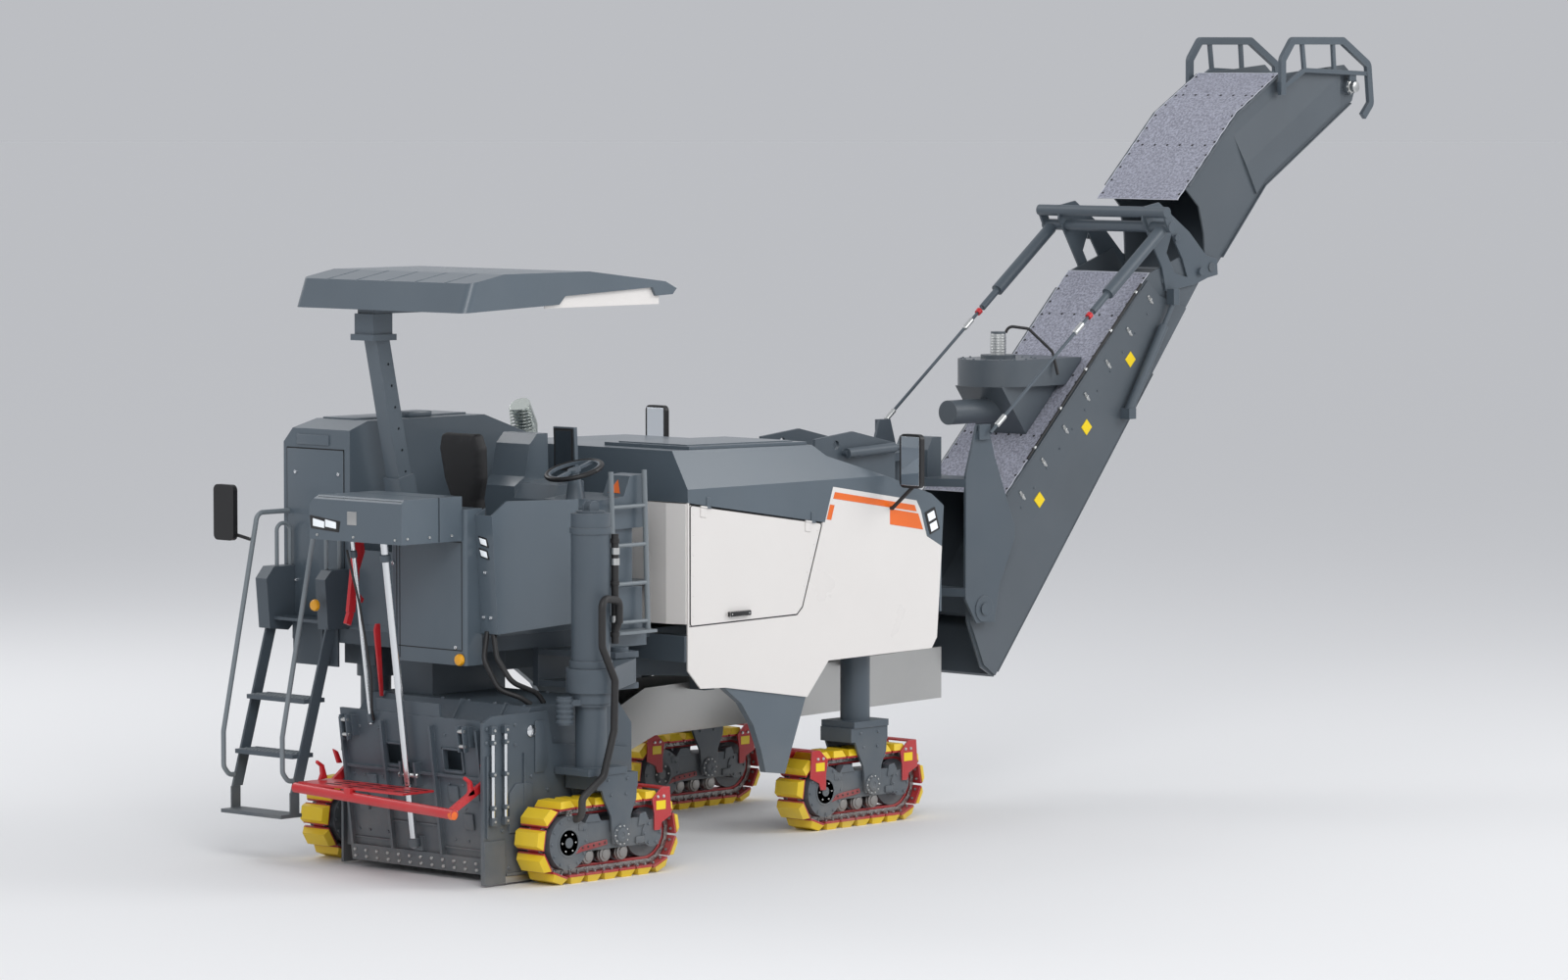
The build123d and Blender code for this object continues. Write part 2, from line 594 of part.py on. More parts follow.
# ---------------------------------------------------------------- body skins
PANEL_FOOT = [(1390, 1240), (1515, 1110), (1760, 1100), (2585, 975), (2805, 1215),
              (3885, 1230), (3940, 1305), (3990, 1935)]
BAND_LINE = [(3990, 1950), (3830, 2030), (3765, 2220), (3720, 2290), (2850, 2430), (2765, 2185),
             (1390, 2390)]
DOOR = [(1414, 2374), (2735, 2180), (2535, 1610), (2480, 1560), (1414, 1545)]
DOOR_OPENING = [(1404, 2410), (2754, 2210), (2541, 1606), (2482, 1554), (1404, 1539)]
HINGE_RADIUS = 7
HINGE_Y = BODY_HALF_WIDTH + HINGE_RADIUS + 0.3
HINGE_XS = (1510, 2560)
HINGE_SPLIT = 60
HINGE_LENGTH = 100
LEAF_HEIGHT = 70
LEAF_OUTER_Y = BODY_HALF_WIDTH + 6


def door_top(x):
    """Return the height of the service door's top edge at an X position."""
    return 2375 - (x - 1410) * 195 / 1325


def knuckle(side, start_x, end_x):
    """Add a length of hinge barrel along the door's sloping top edge."""
    bar((start_x, side * HINGE_Y, door_top(start_x)), (end_x, side * HINGE_Y, door_top(end_x)),
        HINGE_RADIUS)


def leaf(side, start_x, end_x, low, high):
    """Add a hinge leaf between two distances above the door's top edge."""
    side_slab(
        [(start_x, door_top(start_x) + low), (end_x, door_top(end_x) + low),
         (end_x, door_top(end_x) + high), (start_x, door_top(start_x) + high)],
        *sorted((side * SKIN_OUT, side * LEAF_OUTER_Y)),
    )


with BuildPart() as side_panels:
    for side in (-1, 1):
        span = tuple(sorted((side * SKIN_IN, side * SKIN_OUT)))
        side_slab(PANEL_FOOT + BAND_LINE, *span)
        side_slab(DOOR_OPENING, span[0], span[1], Mode.SUBTRACT)
    block((REAR_WALL_X, REAR_WALL_X + SHEET), (-SKIN_IN, SKIN_IN), (DECK_HIGH_Z + 5, 2385))
    plan_slab([(REAR_WALL_X, -SKIN_IN), (1330, -900), (1330, -722), (1342, -722), (1342, -897),
               (REAR_WALL_X, -1003)], DECK_HIGH_Z + 5, 2385)
write(side_panels, "side_panels")

for side, name in ((-1, "service_door_right"), (1, "service_door_left")):
    with BuildPart() as service_door:
        side_slab(DOOR, *sorted((side * SKIN_IN, side * SKIN_OUT)))
        handle_y = sorted((side * SKIN_OUT, side * (SKIN_OUT + 28)))
        block((1780, 1990), handle_y, (1588, 1622))
        for hinge_x in HINGE_XS:
            knuckle(side, hinge_x, hinge_x + HINGE_SPLIT)
            leaf(side, hinge_x + 2, hinge_x + HINGE_SPLIT - 3, -LEAF_HEIGHT, -0.5)
    write(service_door, name)

HOOD_TOP_Z = 2720
LID_REAR_X = 1580
LID_FRONT_X = 2760
LID_SIDE_Y = -64
LID_HINGE_Y = -50
LID_HINGE_RISE = 11
LID_HINGE_RADIUS = 9
LID_HINGE_XS = (1720, 2520)
FLANK_FOOT_Z = 2480
FLANK_TOP_Z = 2741
FLANK_WIDTH = 150
FLANK_INSET = WALL * 1.155


def hood_top(x):
    """Return the height of the hood's flat top at an X position."""
    return HOOD_TOP_Z + 20 * (2780 - x) / (2780 - 1390)


def above_flank(side, inset):
    """Return the corner outline that leaves the hood's sloping flank below it."""
    foot = side * (BODY_HALF_WIDTH + 1 - inset)
    top = side * (BODY_HALF_WIDTH - FLANK_WIDTH - inset)
    return [(foot, FLANK_FOOT_Z), (foot + side * 60, FLANK_FOOT_Z), (foot + side * 60, 2800),
            (top, 2800), (top, FLANK_TOP_Z)]


def lid_barrel(start_x, end_x):
    """Add a length of the engine lid's hinge barrel."""
    bar((start_x, LID_HINGE_Y, hood_top(start_x) + LID_HINGE_RISE),
        (end_x, LID_HINGE_Y, hood_top(end_x) + LID_HINGE_RISE), LID_HINGE_RADIUS)


def along_hood(start_x, end_x, low, high, y_span):
    """Add a strip that follows the hood's top between two heights above it."""
    side_slab([(start_x, hood_top(start_x) + low), (end_x, hood_top(end_x) + low),
               (end_x, hood_top(end_x) + high), (start_x, hood_top(start_x) + high)], *y_span)


with BuildPart() as hood_cavity:
    side_slab(
        [(1390 + WALL, 1900), (3970, 1900), (3972, 2226), (3868, 2316), (2872, 2622),
         (2774, HOOD_TOP_Z - WALL - 1), (1390 + WALL, HOOD_TOP_Z + 20 - WALL)],
        WALL - BODY_HALF_WIDTH, BODY_HALF_WIDTH - WALL,
    )
    for side in (-1, 1):
        cross_slab(above_flank(side, FLANK_INSET), 1300, 4100, Mode.SUBTRACT)

with BuildPart() as engine_hood:
    side_slab(
        BAND_LINE[::-1] + [(4010, 2240), (3880, 2330), (2880, 2640), (2780, HOOD_TOP_Z),
                           (1390, HOOD_TOP_Z + 20)],
        -BODY_HALF_WIDTH, BODY_HALF_WIDTH,
    )
    for side in (-1, 1):
        cross_slab(above_flank(side, 0), 1300, 4100, Mode.SUBTRACT)
    add(hood_cavity.part, mode=Mode.SUBTRACT)
    block((LID_REAR_X + 40, LID_FRONT_X - 40), (-840, -100), (2600, 2800), Mode.SUBTRACT)
    block((3480, 4020), (-285, 285), (2100, 2800), Mode.SUBTRACT)
    for side in (-1, 1):
        for hinge_x in HINGE_XS:
            knuckle(side, hinge_x + HINGE_SPLIT + SEAT_GAP, hinge_x + HINGE_LENGTH)
            leaf(side, hinge_x + HINGE_SPLIT + 3, hinge_x + HINGE_LENGTH - 2, 1, LEAF_HEIGHT)
    for hinge_x in LID_HINGE_XS:
        start_x = hinge_x + HINGE_SPLIT + SEAT_GAP
        lid_barrel(start_x, hinge_x + HINGE_LENGTH)
        along_hood(start_x + 3, hinge_x + HINGE_LENGTH - 2, -3, LID_HINGE_RISE,
                   (LID_HINGE_Y, LID_HINGE_Y + 22))
write(engine_hood, "engine_hood")

with BuildPart() as engine_lid:
    along_hood(LID_REAR_X, LID_FRONT_X, SEAT_GAP, 22, (-880, LID_SIDE_Y))
    along_hood(LID_REAR_X + 60, LID_FRONT_X - 60, 21, 30, (-800, LID_SIDE_Y - 80))
    for hinge_x in LID_HINGE_XS:
        lid_barrel(hinge_x, hinge_x + HINGE_SPLIT)
        along_hood(hinge_x + 2, hinge_x + HINGE_SPLIT - 3, 7, 15, (LID_SIDE_Y - 2, LID_HINGE_Y))
write(engine_lid, "engine_lid")

with BuildPart() as lower_fenders:
    for side in (-1, 1):
        side_slab(
            [(1765, 1180), (2540, 1120), (2580, 970), (2370, 455), (2175, 480), (2130, 640),
             (2050, 820), (1930, 980), (1765, 1094)],
            *sorted((side * 985, side * SKIN_IN)),
        )
    block((3980, FRONT_WALL_X), (-SKIN_IN, SKIN_IN), (1485, 1940))
write(lower_fenders, "lower_fenders")

# ---------------------------------------------------------------- operator platform
CABINET_RIGHT_Y = -890

with BuildPart() as platform:
    plan_slab(
        [(-380, -1035), (960, -1035), (960, -720), (1378, -720), (1378, CABINET_Y),
         (-380, CABINET_Y)],
        FLOOR_Z - 30, FLOOR_Z,
    )
    block((-380, 940), (-700, CABINET_Y), (DECK_HIGH_Z, FLOOR_Z - 30))
    block((-390, -380), (-1035, 420), (1600, 2100))
    block((-380 + WALL, 940 - WALL), (-700 + WALL, CABINET_Y - WALL),
          (DECK_HIGH_Z, FLOOR_Z - 30 - WALL), Mode.SUBTRACT)
    block((580, 960), (-1035, -1015), (1540, FLOOR_Z - 30))
    side_slab(
        [(-420, 1610), (-470, 2400), (-330, 2490), (340, 2470), (300, 1640)],
        -BODY_HALF_WIDTH, -1035,
    )
    side_slab([(-420, 1610), (-470, 2400), (-456, 2400), (-406, 1610)], -1040,
              CABINET_RIGHT_Y - SEAT_GAP)
    side_slab([(-420, 1610), (-470, 2400), (-385, 2440), (-385, 1610)], CABINET_RIGHT_Y - 12,
              CABINET_RIGHT_Y - SEAT_GAP)
    side_slab([(600, 1450), (580, 1545), (985, 1545), (985, 1450)], -BODY_HALF_WIDTH, -1035)
write(platform, "platform")

with BuildPart() as floor_mat:
    block((-350, 520), (-215, 125), (FLOOR_Z, FLOOR_Z + 8))
write(floor_mat, "floor_mat")

with BuildPart() as rear_cabinet:
    block((-560, -390), (CABINET_RIGHT_Y, -170), (1400, 2440))
    fillet(rear_cabinet.edges().filter_by(Axis.Z), 25)
write(rear_cabinet, "rear_cabinet")

with BuildPart() as rear_cover:
    block((-1110, -560), (-860, 30), (2230, 2526))
    chamfer(rear_cover.edges().filter_by(Axis.Y).group_by(Axis.X)[0].group_by(Axis.Z)[-1], 26)
    chamfer(rear_cover.edges().group_by(Axis.Y)[-1].filter_by(Axis.X).group_by(Axis.Z)[-1], 70)
    block((-1098, -560 - SHEET), (-848, 18 - 60), (2200, 2514), Mode.SUBTRACT)
    block((-1098, -560 - SHEET), (18 - 61, 18), (2242, 2448), Mode.SUBTRACT)
write(rear_cover, "rear_cover")

CABINET_LEFT_Y = 1090
SHOULDER_Y = 940
SHOULDER_Z = 2800

with BuildPart() as left_cabinet:
    side_slab(
        [(-370, DECK_HIGH_Z), (1370, DECK_HIGH_Z), (1370, 2800), (900, 2960), (-200, 2960),
         (-370, 2900)],
        CABINET_Y, CABINET_LEFT_Y,
    )
    cross_slab([(CABINET_LEFT_Y + 1, SHOULDER_Z), (CABINET_LEFT_Y + 1, 3000),
                (SHOULDER_Y, 3000), (SHOULDER_Y, 2961)], -380, 1380, Mode.SUBTRACT)
    block((-370 + WALL, 1370 - WALL), (CABINET_Y + WALL, CABINET_LEFT_Y - WALL),
          (DECK_HIGH_Z, SHOULDER_Z - WALL), Mode.SUBTRACT)
    side_slab(
        [(-370 + WALL, 2700), (1370 - WALL, 2700), (1370 - WALL, 2800 - WALL),
         (900, 2960 - WALL), (-200, 2960 - WALL), (-370 + WALL, 2890)],
        CABINET_Y + WALL, SHOULDER_Y - WALL, Mode.SUBTRACT,
    )
write(left_cabinet, "left_cabinet")

with BuildPart() as operator_seat:
    block((-150, 330), (-700, -230), (2180, 2290))
    fillet(operator_seat.edges().filter_by(Axis.Z), 50)
    with BuildSketch(Plane(origin=(-150, -465, 2270), x_dir=(0, 1, 0), z_dir=(0.99, 0, 0.12))):
        with BuildLine():
            Polyline((-150, 0), (-150, 210), (-205, 330), (-225, 560), (-180, 660), (180, 660),
                     (225, 560), (205, 330), (150, 210), (150, 0), close=True)
        make_face()
    extrude(amount=95)
    bar((90, -465, FLOOR_Z), (90, -465, 2185), 60)
write(operator_seat, "operator_seat")

CONSOLE = [(470, 2240), (470, 2400), (560, 2450), (790, 2465), (850, 2600), (965, 2610),
           (995, 2460), (985, 2250)]
GAUGE_HOOD = [(640, 2420), (640, 2500), (740, 2560), (790, 2780), (860, 2850), (960, 2850),
              (970, 2420)]

with BuildPart() as consoles:
    side_slab(CONSOLE, -1030, -830)
    side_slab([(540, 2240), (560, 2435), (900, 2470), (980, 2300), (940, 2240)], -835, -495)
    block((700, 900), (-1000, -900), (FLOOR_Z, 2245))
    block((640, 940), (-500, 200), (FLOOR_Z, 2420))
    block((640 + WALL, 940 - WALL), (-500 + WALL, 200 - WALL), (FLOOR_Z + WALL, 2420 - WALL),
          Mode.SUBTRACT)
    side_slab(GAUGE_HOOD, -130, 200)
    side_slab([(640, 2420), (700, 2520), (940, 2540), (940, 2420)], -500, -130)
    bar((895, -375, 2530), (895, -375, 2620), 18)
    side_slab([(885, 2600), (870, 2905), (900, 2906), (915, 2601)], -475, -275)
    with BuildSketch(Plane(origin=(600, -760, 2440), z_dir=(-0.05, 0, 1))) as gaiter:
        Circle(70)
    extrude(gaiter.sketch, amount=190, taper=11)
    with BuildSketch(Plane(origin=(588, -760, 2640), z_dir=(-0.3, 0, 1))) as rim:
        Circle(190)
        Circle(165, mode=Mode.SUBTRACT)
        Rectangle(340, 24)
        Circle(45)
    extrude(rim.sketch, amount=11, both=True)
write(consoles, "consoles")

LADDER_SLOPE = 0.298


def ladder_x(z):
    """Return the X position of the ladder's stringers at a height."""
    return -520 - (1620 - z) * LADDER_SLOPE


RAIL_RADIUS = 17
with BuildPart() as ladders:
    for rail_y in (450, 1040):
        side_slab(
            [(ladder_x(1620) - 45, 1620), (ladder_x(1620) + 45, 1620),
             (ladder_x(480) + 45, 480), (ladder_x(480) - 45, 480)],
            rail_y - 8, rail_y + 8,
        )
        block((ladder_x(335) - 10, ladder_x(335) + 70), (rail_y - 6, rail_y + 6), (335, 480))
    for tread_z in (720, 1085):
        block((ladder_x(tread_z) - 95, ladder_x(tread_z) + 95), (458, 1032),
              (tread_z - 15, tread_z + 15))
    block((ladder_x(322) - 95, ladder_x(322) + 95), (444, 1046), (310, 335))
    side_slab([(-575, 1560), (-600, 1900), (-540, 1960), (-370, 1960), (-370, 1560)],
              CABINET_Y + 2, 530)
    side_slab([(-610, 1540), (-640, 1880), (-570, 1960), (-370, 1960), (-370, 1580),
               (-440, 1520)], 975, 1085)
    block((-575, -370), (529, 976), (1600, 1620))
    block((-396, -380 - SEAT_GAP), (529, 976), (1290, 1601))
    side_slab([(-470, 1300), (-470, 1601), (-390, 1601), (-390, 1300)], 600, 620)
write(ladders, "ladders")

with BuildPart() as ladder_rails:
    for rail_y in (450, 1040):
        bent_tube(
            [(-370 - SEAT_GAP, rail_y, 2330), (-660, rail_y, 2330), (-980, rail_y, 860),
             (-980, rail_y, 620), (-930, rail_y, 560),
             (ladder_x(560 - RAIL_RADIUS) - 45 - SEAT_GAP, rail_y, 560)],
            RAIL_RADIUS, 60,
        )
    for hoop_y in (505, 1000):
        bent_tube(
            [(-520, hoop_y, 1960 + SEAT_GAP), (-520, hoop_y, 2250), (-400, hoop_y, 2250),
             (-400, hoop_y, 1960 + SEAT_GAP)], RAIL_RADIUS - 3, 50,
        )
write(ladder_rails, "ladder_rails")

with BuildPart() as right_ladder:
    for rail_x in (620, 940):
        bar((rail_x, -1110, 1560), (rail_x, -1075, 2640), 18)
    for rung in range(4):
        z = 1620 + 260 * rung
        y = -1110 + (z - 1560) * 35 / 1080
        bar((620, y, z), (940, y, z), 14)
    block((600, 960), (-1180, -1035), (1545, 1565))
write(right_ladder, "right_ladder")

with BuildPart() as exhaust:
    bent_tube([(1500, 620, hood_top(1425) + 0.3), (1500, 620, 2860), (1400, 590, 3000)], 75, 90)
write(exhaust, "exhaust")

MIRROR_Y = BODY_HALF_WIDTH + 200
MIRRORS = ((3450, -MIRROR_Y, 2590), (3450, MIRROR_Y, 2700), (-780, 1230, 2330))
with BuildPart() as mirrors:
    for mirror_x, mirror_y, mirror_z in MIRRORS:
        block((mirror_x - 20, mirror_x + 20), (mirror_y - 100, mirror_y + 100),
              (mirror_z - 190, mirror_z + 190))
    fillet(mirrors.edges().filter_by(Axis.X), 40)
    for side, z in ((-1, 2400), (1, 2510)):
        bar((3450, side * MIRROR_Y, z), (3450, side * (BODY_HALF_WIDTH + 15), 2250), 14)
        bar((3450, side * (BODY_HALF_WIDTH + 20), 2250), (3450, side * BODY_HALF_WIDTH, 2250), 14)
    bar((-780, 1230, 2200), (-700, 1075, 2150), 12)
    bar((-700, 1080, 2150), (-700, 1040 + RAIL_RADIUS + SEAT_GAP, 2150), 12)
write(mirrors, "mirrors")

with BuildPart() as red_gear:
    bar((-1130, 160, 560), (-1130, -1370, 500), 34)
    block((-1130, -845), (-880, 130), (585, 600))
    side_slab([(-1130, 550), (-1130, 600), (-845, 600), (HOUSING_REAR_X, 760),
               (HOUSING_REAR_X, 690), (-845, 530)], 90, 115)
    side_slab([(-1130, 480), (-1130, 530), (HOUSING_REAR_X, 800), (HOUSING_REAR_X, 730)],
              -1330, -1305)
    beam((-700, 0, 2225.6), (-770, 0, 1720), 30, 60)
    beam((-770, 0, 1720), (-800, 0, 1640), 30, 46)
write(red_gear, "red_gear")

# ---------------------------------------------------------------- collecting conveyor
with BuildPart() as collecting_conveyor:
    for side in (-1, 1):
        side_slab(
            [(560, 260), (560, 500), (1800, 1040), (SNOUT_END_X, 1120), (SNOUT_END_X, 760),
             (1900, 720)],
            *sorted((side * (COLLECT_HALF_WIDTH - 15), side * COLLECT_HALF_WIDTH)),
        )
    side_slab([(600, 330), (590, 350), (1850, 840), (4800, 900), (4800, 870), (1850, 810)],
              15 - COLLECT_HALF_WIDTH, COLLECT_HALF_WIDTH - 15)
    side_slab([(560, 260), (1900, 720), (SNOUT_END_X, 760), (SNOUT_END_X, 745), (1900, 700),
               (570, 245)], -COLLECT_HALF_WIDTH, COLLECT_HALF_WIDTH)
write(collecting_conveyor, "collecting_conveyor")

# ---------------------------------------------------------------- conveyor carrier
EYE_X = 3720
EYE_Z = 2650
EYE_RADIUS = 32
SLEW_RAM_Y = 318
SLEW_RAM_Z = 2590

with BuildPart() as front_tower:
    for side in (-1, 1):
        side_slab(
            [(3985, 2110), (3500, 2480), (3500, 2700), (3900, 2740), (4350, 2640),
             (4350, 2240), (4100, 2110)],
            *sorted((side * 250, side * 275)),
        )
        side_slab([(3980, 1200), (3980, 1480), (4001, 1484), (4001, 2090), (4120, 2110),
                   (4300, 1500), (4300, 1200)],
                  *sorted((side * 250, side * 275)))
    plan_slab([(4000, -250), (4350, -250), (4720, -120), (4760, 0), (4720, 120), (4350, 250),
               (4000, 250)], 2500, 2560)
    plan_slab([(4001, -250), (4300, -250), (4720, -120), (4760, 0), (4720, 120), (4300, 250),
               (4001, 250)], 1230, 1290)
    block((3985, 4020), (-250, 250), (2110, 2500))
    for side in (-1, 1):
        ram_y = side * SLEW_RAM_Y
        bar((3800, side * 270, SLEW_RAM_Z), (3800, ram_y, SLEW_RAM_Z), 22)
        bar((3790, ram_y, SLEW_RAM_Z), (4290, ram_y, SLEW_RAM_Z + 18), 36)
        bar((4290, ram_y, SLEW_RAM_Z + 18), (4540, ram_y, SLEW_RAM_Z + 27), 18)
    bar((EYE_X, -290, EYE_Z), (EYE_X, 290, EYE_Z), EYE_RADIUS, Mode.SUBTRACT)
    bar((SLEW_X, 0, 1230), (SLEW_X, 0, 2600), 55)
write(front_tower, "front_tower")

CARRIER_HALF_WIDTH = CONVEYOR_HALF_WIDTH + 70
CARRIER_OUTER_Y = CARRIER_HALF_WIDTH + 20
with BuildPart() as slew_frame:
    pipe((SLEW_X, 0, 1296), (SLEW_X, 0, 2494), 110, 55 + RUNNING_FIT)
    for low, high, front_x in ((1500, 1560, 4960), (2300, 2360, 5120)):
        plan_slab(
            [(4700, -100), (4880, -CARRIER_OUTER_Y), (front_x, -CARRIER_OUTER_Y),
             (front_x, CARRIER_OUTER_Y), (4880, CARRIER_OUTER_Y), (4700, 100)],
            low, high,
        )
    side_slab([(4830, 2350), (4830, 2560), (4880, 2650), (4980, 2650), (4980, 2350)], -160, 160)
    for side in (-1, 1):
        span = on_side(side, CARRIER_HALF_WIDTH, CARRIER_OUTER_Y)
        side_slab(
            [(5000, 2750), (5120, 2750), (5200, 2500), (5420, 1990), (5420, 1900), (5250, 1560),
             (5200, 1300), (5000, 1300), (4880, 1480), (4880, 1600), (4880, 2250), (4880, 2380)],
            *span,
        )
        block((5000, 5120), on_side(side, CARRIER_OUTER_Y + 10, CARRIER_OUTER_Y + 25), (2640, 2750))
        block((5000, 5120), on_side(side, CARRIER_OUTER_Y - 1, CARRIER_OUTER_Y + 11), (2640, 2700))
        bar((LUFF_X, side * (CONVEYOR_HALF_WIDTH - 12), LUFF_Z),
            (LUFF_X, side * (CARRIER_OUTER_Y + 20), LUFF_Z), 45)
        bar((LUFF_X, side * (CARRIER_OUTER_Y - 1), LUFF_Z),
            (LUFF_X, side * (CARRIER_OUTER_Y + 8), LUFF_Z), 95)
    bar((SLEW_X, 0, 1290), (SLEW_X, 0, 2500), 55 + RUNNING_FIT, Mode.SUBTRACT)
write(slew_frame, "slew_frame")

# ---------------------------------------------------------------- discharge conveyor
LOWER_FOOT = [(5150, 960), (5290, 880), (7700, 3790), (7560, 3960), (7060, 3800), (5400, 2190),
              (4990, 1480), (5000, 1300)]

TROUGH_HALF_WIDTH = CONVEYOR_HALF_WIDTH - 15
SKIN_BULGE = 18
LOWER_SKIN = [(5165, 978), (5290, 892), (7470, 3525), (7150, 3630), (7020, 3745), (5410, 2178),
              (5002, 1480), (5012, 1312)]
LOWER_LIPS = (((5320, 918), (7080, 3043)), ((5420, 2209), (6930, 3674)))
UPPER_SKIN = [(7900, 3955), (8420, 4490), (9330, 5030), (9330, 5340), (8610, 5282), (8090, 4980),
              (7800, 4690)]
UPPER_LIPS = (((7905, 3902), (8420, 4440), (9470, 5062)), ((7500, 4444), (8080, 4990),
                                                          (8600, 5290)))
LIP_WIDTH = 20


def folded_skin(route_start, route_end, crease, skin_outline, side):
    """Add the folded outer sheet of a conveyor: its upper strip leans inward above a crease."""
    start, run = Vector(*route_start), Vector(*route_end) - Vector(*route_start)
    plane = Plane(origin=start - run * 0.1, x_dir=(0, side, 0), z_dir=run)
    rise = 1 if plane.y_dir.Z > 0 else -1
    inner, outer = CONVEYOR_HALF_WIDTH - 1, CONVEYOR_HALF_WIDTH + SKIN_BULGE
    with BuildPart() as skin:
        with BuildSketch(plane):
            with BuildLine():
                Polyline((inner, rise * -40), (outer, rise * -40), (outer, rise * crease),
                         (CONVEYOR_HALF_WIDTH, rise * crease * 2), (inner, rise * crease * 2),
                         close=True)
            make_face()
        extrude(amount=run.length * 1.25)
        side_slab(skin_outline, *on_side(side, inner - 5, outer + 5), mode=Mode.INTERSECT)
    add(skin.part)


def edge_lips(routes, side):
    """Add the turned-out lips along a conveyor side's two long edges."""
    for route in routes:
        for start, end in zip(route, route[1:]):
            y = side * (CONVEYOR_HALF_WIDTH + LIP_WIDTH / 2)
            beam((start[0], y, start[1]), (end[0], y, end[1]), LIP_WIDTH, 8)


with BuildPart() as lower_conveyor:
    for side in (-1, 1):
        side_slab(LOWER_FOOT, *on_side(side, TROUGH_HALF_WIDTH, CONVEYOR_HALF_WIDTH))
        folded_skin((5290, 0, 880), (7700, 0, 3790), 400, LOWER_SKIN, side)
        bar((LUFF_X, side * TROUGH_HALF_WIDTH, LUFF_Z),
            (LUFF_X, side * (CONVEYOR_HALF_WIDTH + 22), LUFF_Z), 90)
        edge_lips(LOWER_LIPS, side)
    side_slab([(5290, 880), (7700, 3790), (7690, 3805), (5275, 898)], -TROUGH_HALF_WIDTH,
              TROUGH_HALF_WIDTH)
    side_slab([(5450, 1290), (7440, 3690), (7410, 3715), (5420, 1315)], -TROUGH_HALF_WIDTH,
              TROUGH_HALF_WIDTH)
    for side in (-1, 1):
        bar((LUFF_X, side * TROUGH_HALF_WIDTH, LUFF_Z),
            (LUFF_X, side * (CONVEYOR_HALF_WIDTH + 26), LUFF_Z), 45 + RUNNING_FIT,
            Mode.SUBTRACT)
write(lower_conveyor, "lower_conveyor")

with BuildPart() as lower_cover:
    side_slab([(5420, 2209.8), (7060, 3800.3), (7052, 3808.5), (5412, 2218)],
              -CONVEYOR_HALF_WIDTH, CONVEYOR_HALF_WIDTH)
write(lower_cover, "lower_cover")

FAN_X = 5790
FAN_RADIUS = 300
FAN_LOW_Z = 2990
FAN_TOP_Z = 3190
with BuildPart() as suction_fan:
    with BuildSketch(Plane.XY.offset(FAN_LOW_Z)):
        with Locations((FAN_X, 0)):
            Circle(FAN_RADIUS)
        with Locations((FAN_X + 300, 0)):
            Rectangle(600, 2 * FAN_RADIUS)
    extrude(amount=FAN_TOP_Z - FAN_LOW_Z)
    side_slab([(5570, FAN_LOW_Z), (6300, FAN_LOW_Z), (5870, 2600)], -230, 230)
    side_slab([(5412, 2218.4), (7052, 3808.9), (7052, 2218)], -320, 320, Mode.SUBTRACT)
    bar((FAN_X, 0, FAN_TOP_Z), (FAN_X, 0, FAN_TOP_Z + 30), 130)
    bar((FAN_X, 0, FAN_TOP_Z + 30), (FAN_X, 0, FAN_TOP_Z + 200), 55)
    bar((5800, 0, 2810), (5230, 0, 2810), 90)
write(suction_fan, "suction_fan")

TUBE_HALF_WIDTH = CONVEYOR_HALF_WIDTH + 230
FOLD_PLATE_Y = CONVEYOR_HALF_WIDTH + 6
FOLD_RAM_Y = CONVEYOR_HALF_WIDTH + 62
with BuildPart() as fold_frame:
    bar((6985, -TUBE_HALF_WIDTH, 4260), (6985, TUBE_HALF_WIDTH, 4260), 42)
    bar((7050, -TUBE_HALF_WIDTH, 4150), (7050, TUBE_HALF_WIDTH, 4150), 42)
    for side in (-1, 1):
        for link_y in (CONVEYOR_HALF_WIDTH + 20, TUBE_HALF_WIDTH - 24):
            side_slab([(6950, 4250), (6985, 4295), (7020, 4290), (7090, 4150), (7050, 4110),
                       (7015, 4130)], *on_side(side, link_y, link_y + 16))
        bar((6740, side * FOLD_RAM_Y, 2770), (7150, side * FOLD_RAM_Y, 3400), 36)
        bar((7150, side * FOLD_RAM_Y, 3400), (7270, side * FOLD_RAM_Y, 3584), 19)
        block((6700, 6780), on_side(side, CONVEYOR_HALF_WIDTH + SKIN_BULGE, FOLD_RAM_Y + 45),
              (2720, 2800))
        block((7235, 7300), on_side(side, FOLD_PLATE_Y + 14, FOLD_RAM_Y + 30), (3560, 3680))
        bar((7620, side * (FOLD_PLATE_Y + 14), 3800), (7620, side * (FOLD_PLATE_Y + 44), 3800), 30)
        bar((7330, side * (FOLD_PLATE_Y + 14), 4060), (7330, side * (FOLD_PLATE_Y + 40), 4060), 26)
        span = tuple(sorted((side * FOLD_PLATE_Y, side * (FOLD_PLATE_Y + 15))))
        side_slab(
            [(6950, 4200), (6960, 4300), (7140, 4330), (7500, 4100), (7700, 3920), (7830, 3890),
             (7840, 3770), (7720, 3750), (7560, 3700), (7230, 3660), (7180, 3840)],
            *span,
        )
        side_slab([(7230, 3950), (7330, 3790), (7480, 3760), (7420, 3900), (7290, 4090)],
                  span[0] - 1, span[1] + 1, Mode.SUBTRACT)
        spacer = on_side(side, CONVEYOR_HALF_WIDTH, FOLD_PLATE_Y)
        block((7200, 7380), spacer, (3720, 3800))
        bar((FOLD_X, side * (FOLD_PLATE_Y - 1), FOLD_Z),
            (FOLD_X, side * (FOLD_PLATE_Y + 16), FOLD_Z), 34 + RUNNING_FIT, Mode.SUBTRACT)
write(fold_frame, "fold_frame")

with BuildPart() as luff_gear:
    for side in (-1, 1):
        y = side * (CONVEYOR_HALF_WIDTH + 145)
        bar((7015.5, y, 4124.5), (6400, y, 3667), 46)
        bar((6400, y, 3667), (6230, y, 3540), 26)
        bar((6230, y, 3540), (5085, y, 2690), 12)
write(luff_gear, "luff_gear")

